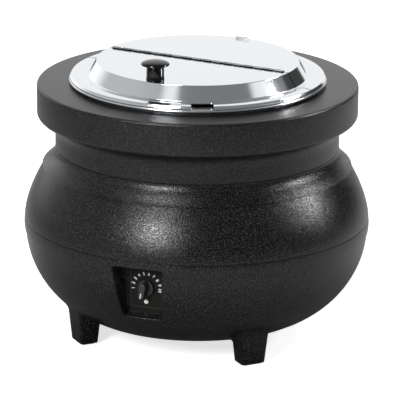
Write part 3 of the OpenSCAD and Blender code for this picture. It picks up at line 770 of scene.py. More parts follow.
# Base plate and shield: hot-dipped zinc, whose broad spangle mottles the grey.
BASE_STEEL = GrainedMetal("galvanised_steel", colour="#BCC0C4", shade="#9DA2A8", roughness=0.38, grain_mm=9.0)
# Heat spreader: rolled aluminium, pale and satin.
SPREADER_ALUMINIUM = GrainedMetal("rolled_aluminium", colour="#D0D2D5", shade="#B9BCC0", roughness=0.42)
# Element: steel sheath browned unevenly by its own heat.
ELEMENT_SHEATH = GrainedMetal("heat_browned_sheath", colour="#8A7F76", shade="#5E5149", roughness=0.45, grain_mm=6.0)
# Bulb and capillary: drawn copper, warm, with fine lines along the draw.
DRAWN_COPPER = GrainedMetal("drawn_copper", colour="#C98B62", shade="#A5653F", roughness=0.3, stretch=(1, 1, 0.1))
# Lid knob: phenolic from a polished mould, black with sharp highlights.
GLOSS_PHENOLIC = MouldedSurface(
    "gloss_phenolic", colour="#060607", shade="#040405", roughness=0.1, ior=1.42, grain_mm=3.0,
    grain_height_mm=0.004,
)
# Dial knob: resin from a finely etched mould, dark with a dull sheen.
DIAL_RESIN = MouldedSurface("fine_textured_resin", colour="#262825", shade="#1C1E1C", roughness=0.42, grain_mm=0.5)
# Dial plate: matt polyester film printed olive black, which hardly shines.
DIAL_PRINT = MouldedSurface(
    "printed_polyester", colour="#0D0F0B", shade="#0A0B08", roughness=0.6, grain_mm=0.4, ior=1.3
)
# Figures: screen-printed white ink, flat and even.
DIAL_INK = MouldedSurface("screen_printed_ink", colour="#F2F2EF", shade="#E4E4E0", roughness=0.6, grain_mm=0.3)
# Border line: screen-printed dark red ink, so dim that it reads as a faint edge.
DIAL_BORDER = MouldedSurface("screen_printed_border", colour="#4A2C2A", shade="#3C2422", roughness=0.6)
# Pointer: white foil stamped hot into the knob, a touch greyer than the ink.
POINTER_FOIL = MouldedSurface("hot_stamped_foil", colour="#DADAD6", shade="#C6C6C0", roughness=0.5)
# Lamp: frosted acrylic, milky where light goes a little way in.
FROSTED_LENS = MouldedSurface(
    "frosted_acrylic", colour="#F0EFEA", shade="#E4E2DA", roughness=0.35, ior=1.49, passes_light=0.4
)
# Insulation and pad: pressed mineral fibre, cream, dry and rough.
MINERAL_FIBRE = MouldedSurface(
    "pressed_mineral_fibre", colour="#EBE4CC", shade="#CFC5A4", roughness=0.95, grain_mm=1.6, grain_height_mm=0.5
)
# Wiring blocks: steatite under a thin glaze, cream with a wet shine.
GLAZED_STEATITE = MouldedSurface("glazed_steatite", colour="#EEE9DB", shade="#DED7C6", roughness=0.3, coat=0.3)
# Gland and cut-out: moulded nylon, black with a waxy sheen.
BLACK_NYLON = MouldedSurface("moulded_nylon", colour="#1D1D1E", shade="#151516", roughness=0.45)
# Foot pads: vulcanised rubber, a dull black.
PAD_RUBBER = MouldedSurface("vulcanised_rubber", colour="#1E1E1E", shade="#161616", roughness=0.75)
# Floor of the studio, with painted shadow round the kettle.
FLOOR_PAINT = PaleFloor("pale_floor")


# ---------------------------------------------------------------- sub-assemblies


@dataclass
class SubAssembly:
    """A group of pieces that are made and dressed together."""

    made: list[str] = field(default_factory=list)

    def fit(self, piece: bpy.types.Object, body: Body, slot: Slot, finish: Finish, *nodes: str) -> None:
        """Dress a piece, set it riding and hide the nodes of the frame that it replaces.

        Args:
            piece: The piece.
            body: Body of the frame that carries it.
            slot: Slot of the record for it; not used.
            finish: Its finish.
            nodes: Nodes of the frame that it replaces.
        """
        finish.dress(piece)
        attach(piece, body.value)
        if nodes:
            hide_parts(*nodes)
        self.made.append(piece.name)

    def dress_nodes(self, finish: Finish, *nodes: str) -> None:
        """Give a finish to nodes of the frame that stay as they are.

        Args:
            finish: The finish.
            nodes: Names of the nodes.
        """
        finish.dress(*(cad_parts[node] for node in nodes))
        self.made += nodes

    def build(self) -> None:
        """Make the pieces and dress them."""
        raise NotImplementedError


@dataclass
class MouldedBody(SubAssembly):
    """Pot-bellied body: bowl with its feet and control recess, upper shell and rim ring."""

    bottom_z: float = 26.0
    widest_z: float = 124.0
    seam_z: float = 133.0
    shoulder_z: float = 190.9
    neck_z: float = 212.3
    band_z: float = 247.2
    ring_z: float = RIM_Z
    bottom_r: float = 129.5
    bottom_soft: float = 5.0
    bowl_wide_r: float = 191.4
    bowl_round: float = 1.1
    belly_r: float = 192.4
    belly_bend: float = 1.6
    shoulder_r: float = 172.3
    shoulder_step: float = 1.4
    shoulder_bend: float = 1.75
    neck_r: float = 157.8
    neck_curve_h: float = 19.5
    ring_r: float = 178.0
    ring_roll: float = 5.0
    ring_soft: float = 3.0
    wall: float = 3.6
    belt_h: float = 15.4
    belt_step: float = 1.0
    belt_bulge: float = 0.54
    well_hole_r: float = 134.9
    well_flange_r: float = 140.9
    well_seat_h: float = 1.2
    plate_r: float = 88.4
    plate_hole_r: float = 80.0
    plate_seat_h: float = 1.5
    recess_top_w: float = 58.6
    recess_foot_w: float = 43.4
    recess_h: float = 61.0
    recess_corner: float = 4.0
    recess_z: float = 94.5
    recess_facet: float = 2.5
    panel_y: float = 160.0
    lip_soft: float = 1.2
    foot_reach: float = 147.3
    foot_w: float = 28.0
    foot_d: float = 20.8
    foot_flare: float = 3.4
    foot_edge: float = 3.0
    foot_sole: float = 1.2
    foot_sole_soft: float = 0.7
    foot_skirt: float = 4.5
    gland_z: float = 78.0
    gland_r: float = 7.1

    def __post_init__(self) -> None:
        """Work out the ellipse that the bowl's side follows."""
        drop = self.widest_z - self.bottom_z
        swell = 1 - math.sqrt(1 - 1 / self.bowl_round**2)
        self.bowl_axes = ((self.bowl_wide_r - self.bottom_r) / swell, drop * self.bowl_round)
        self.bowl_mid_r = self.bowl_wide_r - self.bowl_axes[0]

    def bowl_r(self, height: float) -> float:
        """Outer radius of the bowl at a height."""
        share = (self.widest_z - height) / self.bowl_axes[1]
        return self.bowl_mid_r + self.bowl_axes[0] * math.sqrt(max(0.0, 1 - share**2))

    def bowl_z(self, radius: float) -> float:
        """Height of the bowl's outside at a radius."""
        share = max(0.0, (radius - self.bowl_mid_r) / self.bowl_axes[0])
        return max(self.bottom_z, self.widest_z - self.bowl_axes[1] * math.sqrt(max(0.0, 1 - share**2)))

    def on_face(self, x: float, z: float, depth: float = 0.0) -> Corner:
        """Place on the front of the bowl's face at X and Z, or some depth below it."""
        return x, depth - math.sqrt(max(self.bowl_r(z) ** 2 - x**2, 0.0)), z

    def ring_outline(self) -> list[Point]:
        """Draw the section of the rim ring: flat top, band, rolled lower edge and the neck's hollow curve.

        Returns:
            Points of (radius, height).
        """
        roll, curve_h, soft, rib = self.ring_roll, self.neck_curve_h, self.ring_soft, self.wall
        curve_a = self.ring_r - roll - self.neck_r
        curve_mid = (self.ring_r - roll, self.band_z - curve_h)
        seat, ceiling = self.ring_z - self.well_seat_h, self.ring_z - rib - 1
        outer = [(self.well_hole_r, seat), (self.well_flange_r, seat), (self.well_flange_r, self.ring_z)]
        outer += arc((self.ring_r - soft, self.ring_z - soft), (soft, soft), 90, 0, 10)
        outer += arc((self.ring_r - roll, self.band_z + roll), (roll, roll), 0, -90, 12)
        outer += arc(curve_mid, (curve_a, curve_h), 90, 180, 24)
        outer += [(self.neck_r, self.neck_z + 0.9), (self.neck_r - 0.9, self.neck_z)]
        outer.append((self.neck_r - rib, self.neck_z))
        inner = arc(curve_mid, (curve_a + rib, curve_h + rib), 180, 90, 16)
        inner += [(self.ring_r - rib, self.band_z + roll + rib), (self.ring_r - rib, ceiling)]
        return outer + inner + [(self.well_hole_r, ceiling)]

    def upper_outline(self) -> list[Point]:
        """Draw the section of the upper shell: belly, shoulder step and the flare up to the neck.

        Returns:
            Points of (radius, height).
        """
        height, rise = self.shoulder_z - self.seam_z, self.neck_z - self.shoulder_z
        top_r = self.shoulder_r - self.shoulder_step
        belly = [
            (self.belly_r - (self.belly_r - top_r) * share**self.belly_bend, self.seam_z + height * share)
            for share in shares(32)
        ]
        outer = [(self.belly_r - 0.7, self.seam_z), (self.belly_r - 0.1, self.seam_z + 0.5)] + belly[1:]
        outer += [(top_r + 0.1, self.shoulder_z + 0.15), (self.shoulder_r - 0.5, self.shoulder_z + 0.2)]
        for share in reversed(shares(24)):
            radius = self.neck_r + (self.shoulder_r - self.neck_r) * share**self.shoulder_bend
            outer.append((radius, self.neck_z - (rise - 0.7) * share))
        inner = [(self.neck_r - self.wall, self.neck_z), (self.neck_r - self.wall, self.neck_z - rise * 0.35)]
        inner += [(r - self.wall, z) for r, z in belly[30::-3]]
        return outer + inner

    def bowl_outline(self) -> list[Point]:
        """Draw the section of the bowl, from the opening in its bottom out and up to the seam, and back inside.

        Returns:
            Points of (radius, height).
        """
        (wide, deep), centre, soft = self.bowl_axes, (self.bowl_mid_r, self.widest_z), self.bottom_soft
        seat = self.bottom_z + self.plate_seat_h
        outline = [(self.plate_hole_r, seat), (self.plate_r, seat)]
        outline += [(self.plate_r, self.bottom_z + 0.4), (self.plate_r + 0.4, self.bottom_z)]
        rise_z = self.bowl_z(self.bottom_r + 2 * soft)
        corner = [(self.bottom_r - soft, self.bottom_z, 0.0), (self.bottom_r, self.bottom_z, soft)]
        corner.append((self.bottom_r + 2 * soft, rise_z, 0.0))
        step_z = self.seam_z - self.belt_h
        low = -math.degrees(math.asin((self.widest_z - rise_z) / deep))
        high = -math.degrees(math.asin((self.widest_z - step_z) / deep))
        outline += softened(corner, steps=8)[:-1] + arc(centre, (wide, deep), low, high, 64)
        foot_r, step = self.bowl_r(step_z), self.belt_step
        outline += [(foot_r + 0.1, step_z + 0.1), (foot_r + step * 0.8, step_z + 0.25), (foot_r + step, step_z + 0.7)]
        for share in shares(16)[1:]:
            swell = self.belt_bulge * 4 * share * (1 - share)
            radius = foot_r + step + (self.belly_r - foot_r - step) * share + swell
            outline.append((radius, step_z + 0.7 + (self.belt_h - 1.6) * share))
        outline += [(self.belly_r - 0.15, self.seam_z - 0.35), (self.belly_r - 0.7, self.seam_z)]
        wide, deep = wide - self.wall, deep - self.wall
        high = math.degrees(math.asin((self.seam_z - self.widest_z) / deep))
        low = -math.degrees(math.asin((self.widest_z - self.bottom_z - self.wall) / deep))
        outline += arc(centre, (wide, deep), high, low, 32)
        return outline + [(self.plate_hole_r, self.bottom_z + self.wall)]

    def recess_edge(self, grow: float) -> list[Point]:
        """Draw the outline of the control recess.

        Args:
            grow: Millimetres by which it is wider than the recess all round.

        Returns:
            Points of (x, height), at most a facet apart.
        """
        top, foot, rise = self.recess_top_w / 2 + grow, self.recess_foot_w / 2 + grow, self.recess_h / 2 + grow
        corner = self.recess_corner + grow
        frame_line = [(-top, rise, corner), (-foot, -rise, corner), (foot, -rise, corner), (top, rise, corner)]
        outline = softened(frame_line, closed=True, steps=12)
        dense: list[Point] = []
        for (x, y), after in zip(outline, outline[1:] + outline[:1]):
            parts = max(1, int(math.dist((x, y), after) / self.recess_facet))
            for k in range(parts):
                dense.append((x + (after[0] - x) * k / parts, y + (after[1] - y) * k / parts + self.recess_z))
        return dense

    def add_recess_liner(self, mesh: bmesh.types.BMesh) -> None:
        """Add the recess: its softened lip, its walls and its back.

        Args:
            mesh: Mesh that gets the faces, in millimetres.
        """
        lip_line, far_line = self.recess_edge(self.lip_soft), self.recess_edge(self.lip_soft + 0.5)
        courses: list[list] = []
        for x, z in self.recess_edge(0.0):
            corner = Vector(self.on_face(x, z))
            deep = Vector(self.on_face(x, z, self.lip_soft * 1.1))
            lip = bend(Vector(self.on_face(*nearest(lip_line, (x, z)))), corner, deep, 5)
            back = [
                (x * inset, -self.panel_y - lift, (z - self.recess_z) * inset + self.recess_z)
                for inset, lift in ((0.995, 0.8), (0.97, 0.0))
            ]
            courses.append([self.on_face(*nearest(far_line, (x, z)), 0.15), *lip, *back])
        rings = [[mesh.verts.new(spot) for spot in ring] for ring in zip(*courses)]
        skin(mesh, rings)
        mesh.faces.new(rings[-1])

    def add_foot(self, mesh: bmesh.types.BMesh, angle: float) -> None:
        """Add one tapered foot, with a hollow skirt that runs it into the bowl.

        Args:
            mesh: Mesh that gets the faces, in millimetres.
            angle: Turn of the foot round the kettle's axis, in degrees.
        """
        mid, skirt, flare = self.foot_reach - self.foot_d / 2, self.foot_skirt, 2 * self.foot_flare
        sole_z, side_z = self.foot_sole, self.foot_sole + self.foot_sole_soft
        top_z = self.bowl_z(self.foot_reach + self.foot_flare) + 2.0
        lower = round_rectangle(self.foot_w, self.foot_d, self.foot_edge, steps=6)
        upper = round_rectangle(self.foot_w + flare, self.foot_d + flare, self.foot_edge, steps=6)
        rings = []
        for inset, height in ((2.6, sole_z), (self.foot_sole_soft, sole_z), (0.2, sole_z + 0.25), (0.0, side_z)):
            scales = [1 - inset / Vector(spot).length for spot in lower]
            rings.append([Vector((x * s, y * s - mid, height)) for (x, y), s in zip(lower, scales)])
        for share in shares(20)[1:]:
            ring = []
            for (x0, y0), (x1, y1) in zip(lower, upper):
                spot = Vector((x0 + (x1 - x0) * share, y0 + (y1 - y0) * share - mid))
                out = Vector((spot.x, spot.y + mid)).normalized()
                # Where the skirt meets the bowl depends on how far out it reaches, so three passes settle it.
                for _ in range(3):
                    ceiling = self.bowl_z(spot.length) - 0.15
                    height = side_z + (ceiling - side_z) * share
                    drop = min(ceiling - height, skirt)
                    bulge = skirt - math.sqrt(max(0.0, skirt**2 - (skirt - drop) ** 2))
                    taper = (height - sole_z) / (top_z - sole_z)
                    base = Vector((x0 + (x1 - x0) * taper, y0 + (y1 - y0) * taper - mid))
                    spot = base + out * min(bulge, skirt * 0.9)
                ring.append(Vector((*spot, height)))
            rings.append(ring)
        made = [[mesh.verts.new(turned(angle) @ v) for v in ring] for ring in rings]
        skin(mesh, made)
        mesh.faces.new(made[0])

    def recess_tool(self) -> bpy.types.Object:
        """Solid that opens the bowl for the control recess."""
        edge = [(x, z - self.recess_z) for x, z in self.recess_edge(self.lip_soft)]
        return prism("recess_tool", edge, 0, 60, upright_frame(self.panel_y - 8, self.recess_z))

    def gland_tool(self) -> bpy.types.Object:
        """Make the solid that opens the bowl for the cord gland, square to the bowl's surface.

        Returns:
            The solid.
        """
        run = (self.widest_z - self.gland_z) / self.bowl_axes[1] ** 2
        rise = (self.bowl_r(self.gland_z) - self.bowl_mid_r) / self.bowl_axes[0] ** 2
        place = Matrix.Translation((0, self.bowl_r(self.gland_z), self.gland_z))
        place = place @ turned(-90 - math.degrees(math.atan2(run, rise)), "X")
        return prism("gland_tool", circle(self.gland_r, 48), -12, 12, place)

    def build(self) -> None:
        """Make the three mouldings of the body, the recess in it and its feet."""
        self.fit(revolved("rim_ring", self.ring_outline()), Body.BASE, Slot.BODY, RING_RESIN, "collar_ring")
        self.fit(revolved("upper_body", self.upper_outline()), Body.BASE, Slot.BODY, BODY_RESIN, "upper_shell")
        bowl = revolved("bowl", self.bowl_outline())
        cut(bowl, self.recess_tool())
        cut(bowl, self.gland_tool())
        self.fit(bowl, Body.BASE, Slot.BODY, BODY_RESIN, "lower_shell")
        liner, feet = bmesh.new(), bmesh.new()
        self.add_recess_liner(liner)
        self.fit(new_piece("control_recess", liner), Body.BASE, Slot.BODY, BODY_RESIN)
        for angle in (45, 135, 225, 315):
            self.add_foot(feet, angle)
        self.fit(new_piece("feet", feet), Body.BASE, Slot.BODY, BODY_RESIN)
        self.dress_nodes(PAD_RUBBER, "foot_pads")


@dataclass
class ControlPanel(SubAssembly):
    """Thermostat dial at the back of the recess: printed plate, figures, pointer knob and pilot lamp."""

    plate_y: float = 160.6
    plate_z: float = 94.5
    border_w: float = 36.6
    border_h: float = 48.5
    border_line: float = 0.4
    border_lift: float = 2.2
    knob_z: float = 95.0
    lamp_z: float = 79.0
    lamp_r: float = 2.5
    skirt_r: float = 9.0
    skirt_y: float = 161.1
    skirt_t: float = 3.6
    skirt_edge: float = 0.9
    grip_w: float = 7.0
    grip_l: float = 17.6
    grip_h: float = 12.4
    pointer_w: float = 1.1
    pointer_l: float = 5.8
    off_angle: float = 10.0
    figure_r: float = 15.4
    figure_h: float = 3.4
    figure_share: float = 0.69
    first_figure: float = 188.0
    figure_step: float = 21.6

    def dial_frame(self) -> Matrix:
        """Frame of the dial knob, turned to its off position."""
        return upright_frame(self.skirt_y, self.knob_z) @ turned(-self.off_angle)

    def build_knob(self) -> bpy.types.Object:
        """Make the knob: a round skirt with a straight grip bar across it.

        Returns:
            The knob.
        """
        mesh = bmesh.new()
        add_prism(mesh, circle(self.skirt_r, 72), 0, self.skirt_t, edge=self.skirt_edge)
        bar = round_rectangle(self.grip_w, self.grip_l, self.grip_w / 2 - 0.05, steps=10)
        add_prism(mesh, bar, self.skirt_t - self.skirt_edge, self.skirt_t + self.grip_h, edge=0.8)
        return new_piece("dial_knob", mesh, self.dial_frame())

    def build_pointer(self) -> bpy.types.Object:
        """Make the stamped pointer line on the grip's front.

        Returns:
            The line.
        """
        line = round_rectangle(self.pointer_w, self.pointer_l, 0.4, steps=3)
        lift = Matrix.Translation((0, -self.grip_l / 2 + 3.9, self.skirt_t + self.grip_h - 0.01))
        return prism("pointer_line", line, 0, 0.12, self.dial_frame() @ lift)

    def build_figures(self) -> bpy.types.Object:
        """Make the figures 1 to 10 as thin flat ink round the knob.

        Returns:
            The figures, as one piece.
        """
        ink = bmesh.new()
        for step in range(10):
            curve = bpy.data.curves.new("figure", "FONT")
            curve.body = str(step + 1)
            curve.size = self.figure_h / self.figure_share
            curve.align_x, curve.align_y = "CENTER", "CENTER"
            curve.offset = 0.08
            source = bpy.data.objects.new("figure", curve)
            bpy.context.scene.collection.objects.link(source)
            bpy.context.view_layer.update()
            flat = bpy.data.meshes.new_from_object(source.evaluated_get(bpy.context.evaluated_depsgraph_get()))
            turn = self.first_figure - step * self.figure_step
            x, y = (self.figure_r * way(math.radians(turn)) for way in (math.cos, math.sin))
            spot = Matrix.Translation((x, y, 0.05)) @ turned(turn - 90)
            flat.transform(upright_frame(self.plate_y, self.knob_z) @ spot)
            ink.from_mesh(flat)
            bpy.data.objects.remove(source)
            bpy.data.curves.remove(curve)
            bpy.data.meshes.remove(flat)
        return new_piece("dial_figures", ink)

    def build_border(self) -> bpy.types.Object:
        """Make the thin printed border line round the plate.

        Returns:
            The line.
        """
        mesh = bmesh.new()
        rings = []
        for shrink, radius in ((0.0, 1.0), (2 * self.border_line, 0.7)):
            line = round_rectangle(self.border_w - shrink, self.border_h - shrink, radius, steps=4)
            rings.append([mesh.verts.new((x, y + self.border_lift, 0.04)) for x, y in line])
        skin(mesh, rings)
        return new_piece("dial_border", mesh, upright_frame(self.plate_y, self.plate_z))

    def build_lens(self) -> bpy.types.Object:
        """Make the pilot lamp's domed lens.

        Returns:
            The lens.
        """
        r, soft = self.lamp_r, 0.7
        outline = [(0, -3.2), (r - 0.1, -3.2), (r, 0.3)] + arc((r - soft, 0.5), (soft, soft), 0, 60, 4)
        outline += [(r * 0.45, 1.35), (0, 1.5)]
        return revolved("lamp_lens", outline, False, 48, upright_frame(self.plate_y, self.lamp_z))

    def build(self) -> None:
        """Make the dial's pieces."""
        self.dress_nodes(DIAL_PRINT, "dial_plate")
        self.fit(self.build_figures(), Body.BASE, Slot.DIAL_PRINT, DIAL_INK)
        self.fit(self.build_border(), Body.BASE, Slot.DIAL_PRINT, DIAL_BORDER)
        self.fit(self.build_lens(), Body.BASE, Slot.LENS, FROSTED_LENS, "pilot_lamp_lens")
        self.fit(self.build_knob(), Body.DIAL, Slot.DIAL_RESIN, DIAL_RESIN, "control_knob")
        self.fit(self.build_pointer(), Body.DIAL, Slot.POINTER, POINTER_FOIL, "knob_pointer")
        self.dress_nodes(ZINC_STEEL, "bush_nut", "thermostat_shaft")
        self.dress_nodes(GLAZED_STEATITE, "thermostat_case", "pilot_lamp_body")


@dataclass
class SpunPots(SubAssembly):
    """The water well in the body and the soup pot that drops into it."""

    well_r: float = 133.4
    well_z: float = 62.0
    well_corner: float = 28.0
    well_flange_r: float = 140.6
    well_t: float = 1.2
    ring_z: float = RIM_Z
    pot_r: float = 126.0
    pot_z: float = 85.5
    pot_corner: float = 30.0
    pot_rim_r: float = 142.6
    pot_rim_z: float = 290.5
    roll_r: float = 1.8
    pot_t: float = 0.9
    neck_soft: float = 2.0

    def side(self, radius: float, bottom_z: float, corner: float, rim_z: float) -> list[Point]:
        """Draw a spun side, from the middle of its bottom round its corner and up to its outward bend.

        Args:
            radius: Radius of its wall.
            bottom_z: Height of its bottom.
            corner: Radius of its corner.
            rim_z: Height of its top.

        Returns:
            Points of (radius, height).
        """
        soft = self.neck_soft
        path = [(0.0, bottom_z)] + arc((radius - corner, bottom_z + corner), (corner, corner), -90, 0, 24)
        return path + arc((radius + soft, rim_z - soft), (soft, soft), 180, 90, 8)

    def build(self) -> None:
        """Make the well with its flange and the pot with its rolled rim."""
        well = self.side(self.well_r, self.well_z, self.well_corner, self.ring_z)
        well.append((self.well_flange_r, self.ring_z))
        pot = self.side(self.pot_r, self.pot_z, self.pot_corner, self.pot_rim_z)
        roll = self.roll_r
        pot += arc((self.pot_rim_r - roll, self.pot_rim_z - roll), (roll, roll), 90, -120, 24)
        for name, body, path, thickness, node in (
            ("water_well_sheet", Body.BASE, well, self.well_t, "water_well"),
            ("soup_pot", Body.INSET, pot, self.pot_t, "inset_pot"),
        ):
            piece = revolved(name, sheet(path, thickness), closed=False)
            self.fit(piece, body, Slot.WELL, POT_STAINLESS, node)


@dataclass
class FoldingLid(SubAssembly):
    """Pressed lid in two halves, with the ladle notch, the stop tab and the piano hinge between them."""

    lid_r: float = 141.8
    foot_r: float = 121.5
    plate_r: float = 111.8
    lid_z: float = 290.8
    plate_z: float = LID_PLATE_Z
    valley_h: float = 3.2
    crest_h: float = 4.4
    sheet_t: float = 1.0
    facets: int = 360
    turn: float = LID_TURN
    split_y: float = -2.0
    split_gap: float = 1.5
    hinge_l: float = 214.16
    hinge_z: float = 310.2
    barrel_r: float = 1.8
    barrel_soft: float = 0.25
    barrel_bore_r: float = 0.95
    slot_half: float = 2.3
    slot_end: float = 0.5
    knuckles: int = 17
    knuckle_gap: float = 1.6
    leaf_w: float = 12.0
    leaf_t: float = 0.8
    notch_w: float = 24.0
    notch_d: float = 17.0
    notch_angle: float = 30.0
    notch_corner: float = 2.6
    tab_w: float = 15.5
    tab_h: float = 2.4
    tab_t: float = 1.5
    tab_inset: float = 5.0

    def outline(self) -> list[Point]:
        """Draw the section of the lid's sheet: flat plate, bevel, shallow valley, raised flange and rolled edge.

        Returns:
            Points of (radius, height).
        """
        low, edge, valley, crest = self.lid_z, self.lid_r, self.lid_z + self.valley_h, self.lid_z + self.crest_h
        corners: list[Corner] = [
            (0.0, self.plate_z, 0.0),
            (self.plate_r, self.plate_z, 1.6),
            (self.foot_r, valley, 1.8),
            (self.foot_r + 3.0, valley + 0.1, 3.0),
            (self.foot_r + 10.5, crest + 0.2, 8.0),
            (edge - 2.2, crest - 0.9, 1.8),
            (edge - 0.1, low + 1.2, 1.7),
            (edge, low + 0.1, 0.0),
        ]
        return sheet(softened(corners, steps=8), self.sheet_t)

    def slot_tool(self) -> bpy.types.Object:
        """Make the solid that opens the plate for the hinge.

        Returns:
            The solid.
        """
        reach, half = self.hinge_l / 2 + self.slot_end, self.slot_half
        opening = rectangle((-reach, self.split_y - half), (reach, self.split_y + half))
        return prism("slot", opening, self.plate_z - 6, self.plate_z + 8, turned(self.turn))

    def notch_tool(self) -> bpy.types.Object:
        """Make the solid that cuts the ladle notch in the front half.

        Returns:
            The solid.
        """
        beyond = 20  # how far it stands out past the lid's edge
        shape = round_rectangle(self.notch_w, self.notch_d + beyond, self.notch_corner)
        middle = Matrix.Translation((0, -self.lid_r - beyond / 2 + self.notch_d / 2, 0))
        place = turned(self.turn) @ (turned(self.notch_angle) @ middle)
        return prism("notch_tool", shape, self.lid_z - 5, self.lid_z + 14, place)

    def half(self, name: str, way: int) -> bpy.types.Object:
        """Make one half of the lid.

        Args:
            name: Name of the piece.
            way: 1 for the half behind the hinge, -1 for the front one.

        Returns:
            The half, cut for the hinge.
        """
        mesh = bmesh.new()
        add_revolved(mesh, self.outline(), closed=False, steps=self.facets)
        bmesh.ops.remove_doubles(mesh, verts=mesh.verts, dist=SAME_SPOT_MM)
        split = bmesh.ops.bisect_plane(
            mesh, geom=[*mesh.verts, *mesh.edges, *mesh.faces],
            plane_co=(0, self.split_y + way * self.split_gap / 2, 0), plane_no=(0, way, 0), clear_inner=True,
        )
        bmesh.ops.edgenet_fill(mesh, edges=[e for e in split["geom_cut"] if isinstance(e, bmesh.types.BMEdge)])
        piece = new_piece(name, mesh, turned(self.turn))
        cut(piece, self.slot_tool())
        return piece

    def build_tab(self) -> bpy.types.Object:
        """Make the small upright stop at the rear of the plate.

        Returns:
            The stop.
        """
        sunk = -0.3
        shape = [(x, max(y, sunk)) for x, y in round_rectangle(self.tab_w, self.tab_h * 2, 1.1, steps=6)]
        stand = upright_frame(self.tab_inset - self.plate_r, self.plate_z)
        return prism("lid_stop", shape, 0, self.tab_t, turned(self.turn) @ stand, edge=0.3)

    def build_leaf(self, name: str, way: int, first: int) -> bpy.types.Object:
        """Make one leaf of the hinge with its rolled knuckles.

        Args:
            name: Name of the piece.
            way: 1 for the rear leaf, -1 for the front one.
            first: Number of its first knuckle.

        Returns:
            The leaf.
        """
        mesh = bmesh.new()
        pitch, top = self.hinge_l / self.knuckles, self.plate_z - self.sheet_t
        start = (self.knuckle_gap - self.hinge_l) / 2
        near = self.split_y + way * self.slot_half
        spans = [(start, -start, near, near + way * self.leaf_w)]
        for number in range(first, self.knuckles, 2):
            low = start + number * pitch
            high = low + pitch - self.knuckle_gap
            self.add_knuckle(mesh, low, high)
            spans.append((low, high, self.split_y, near))
        for low, high, *rows in spans:
            add_prism(mesh, rectangle((low, min(rows)), (high, max(rows))), top - self.leaf_t, top)
        return new_piece(name, mesh, turned(self.turn))

    def add_knuckle(self, mesh: bmesh.types.BMesh, low: float, high: float) -> None:
        """Add one rolled knuckle, with softened ends and a bore for the pin.

        Args:
            mesh: Mesh that gets the faces, in the lid's frame.
            low: Its first end along the hinge.
            high: Its other end.
        """
        soft, bore, barrel = self.barrel_soft, self.barrel_bore_r, self.barrel_r
        section = [(bore, low), (barrel - soft, low), (barrel, low + soft)]
        section += [(barrel, high - soft), (barrel - soft, high), (bore, high)]
        rings = [
            [mesh.verts.new((along, self.split_y + y, self.hinge_z + z)) for y, z in circle(radius, 32)]
            for radius, along in section
        ]
        skin(mesh, rings, closed=True)

    def build(self) -> None:
        """Make the lid and its hinge."""
        self.fit(self.half("lid_rear_sheet", 1), Body.LID_REAR, Slot.LID, LID_STAINLESS, "lid_rear_half")
        front = self.half("lid_front_sheet", -1)
        cut(front, self.notch_tool())
        self.fit(front, Body.LID_FRONT, Slot.LID, LID_STAINLESS, "lid_front_half")
        self.fit(self.build_tab(), Body.LID_REAR, Slot.HINGE, TAB_STAINLESS, "stop_tab")
        rear = self.build_leaf("hinge_leaf_rear", 1, 0)
        self.fit(rear, Body.LID_REAR, Slot.HINGE, HINGE_STAINLESS, "rear_hinge_leaf")
        front = self.build_leaf("hinge_leaf_front", -1, 1)
        self.fit(front, Body.LID_FRONT, Slot.HINGE, FRONT_HINGE_STAINLESS, "front_hinge_leaf")
        self.dress_nodes(PIN_STAINLESS, "hinge_pin")


@dataclass
class LidKnob(SubAssembly):
    """Mushroom knob of the lid, held by a screw from below."""

    reach: float = 98.0
    plate_z: float = LID_PLATE_Z
    turn: float = LID_TURN
    cap_r: float = 15.5
    cap_share: float = 0.76
    cap_edge: float = 0.8
    height: float = 21.0
    stem_r: float = 10.1
    waist: float = 0.45
    bore_r: float = 2.5

    def outline(self) -> list[Point]:
        """Draw the section of the knob, from its screw bore out over the stem and the cap.

        Returns:
            Points of (radius, height).
        """
        cap_z, waist, soft = self.height * self.cap_share, self.stem_r - self.waist, self.cap_edge
        outline = [(self.bore_r, 0.0), (self.stem_r - 0.4, 0.0), (self.stem_r, 0.4), (self.stem_r - 0.1, 0.9)]
        outline += [(waist + 0.15, 2.0), (waist, 4.0), (waist, cap_z - 3.0), (waist + 0.5, cap_z - 1.3)]
        outline += [(waist + 1.8, cap_z - 0.3), (waist + 3.2, cap_z)]
        outline += arc((self.cap_r - soft, cap_z + soft), (soft, soft), -90, 12, 6)
        outline += arc((0, cap_z + 0.9), (self.cap_r, self.height - cap_z - 0.9), 8, 90, 24)
        return outline[:-1] + [(0.0, self.height), (0.0, self.height / 2), (self.bore_r, self.height / 2)]

    def build(self) -> None:
        """Make the knob."""
        place = turned(self.turn) @ Matrix.Translation((0, -self.reach, self.plate_z))
        knob = revolved("mushroom_knob", self.outline(), steps=96, place=place)
        self.fit(knob, Body.LID_FRONT, Slot.PHENOLIC, GLOSS_PHENOLIC, "lid_knob")
        self.dress_nodes(ZINC_STEEL, "knob_screw")


@dataclass
class WorkingParts(SubAssembly):
    """Heater, insulation, wiring blocks and base plate, which keep the shapes of the frame."""

    def build(self) -> None:
        """Dress the parts by their material."""
        self.dress_nodes(MINERAL_FIBRE, "well_insulation", "heater_pad")
        self.dress_nodes(SPREADER_ALUMINIUM, "heat_spreader")
        self.dress_nodes(ELEMENT_SHEATH, "heating_element")
        self.dress_nodes(BASE_STEEL, "heat_shield", "base_plate")
        self.dress_nodes(ZINC_STEEL, "clamp_stud", "clamp_nuts", "base_screws")
        self.dress_nodes(DRAWN_COPPER, "sensing_bulb", "capillary_tube")
        self.dress_nodes(BLACK_NYLON, "overheat_cutout", "cord_gland", "gland_nut")
        self.dress_nodes(GLAZED_STEATITE, "terminal_block")


# ---------------------------------------------------------------- studio


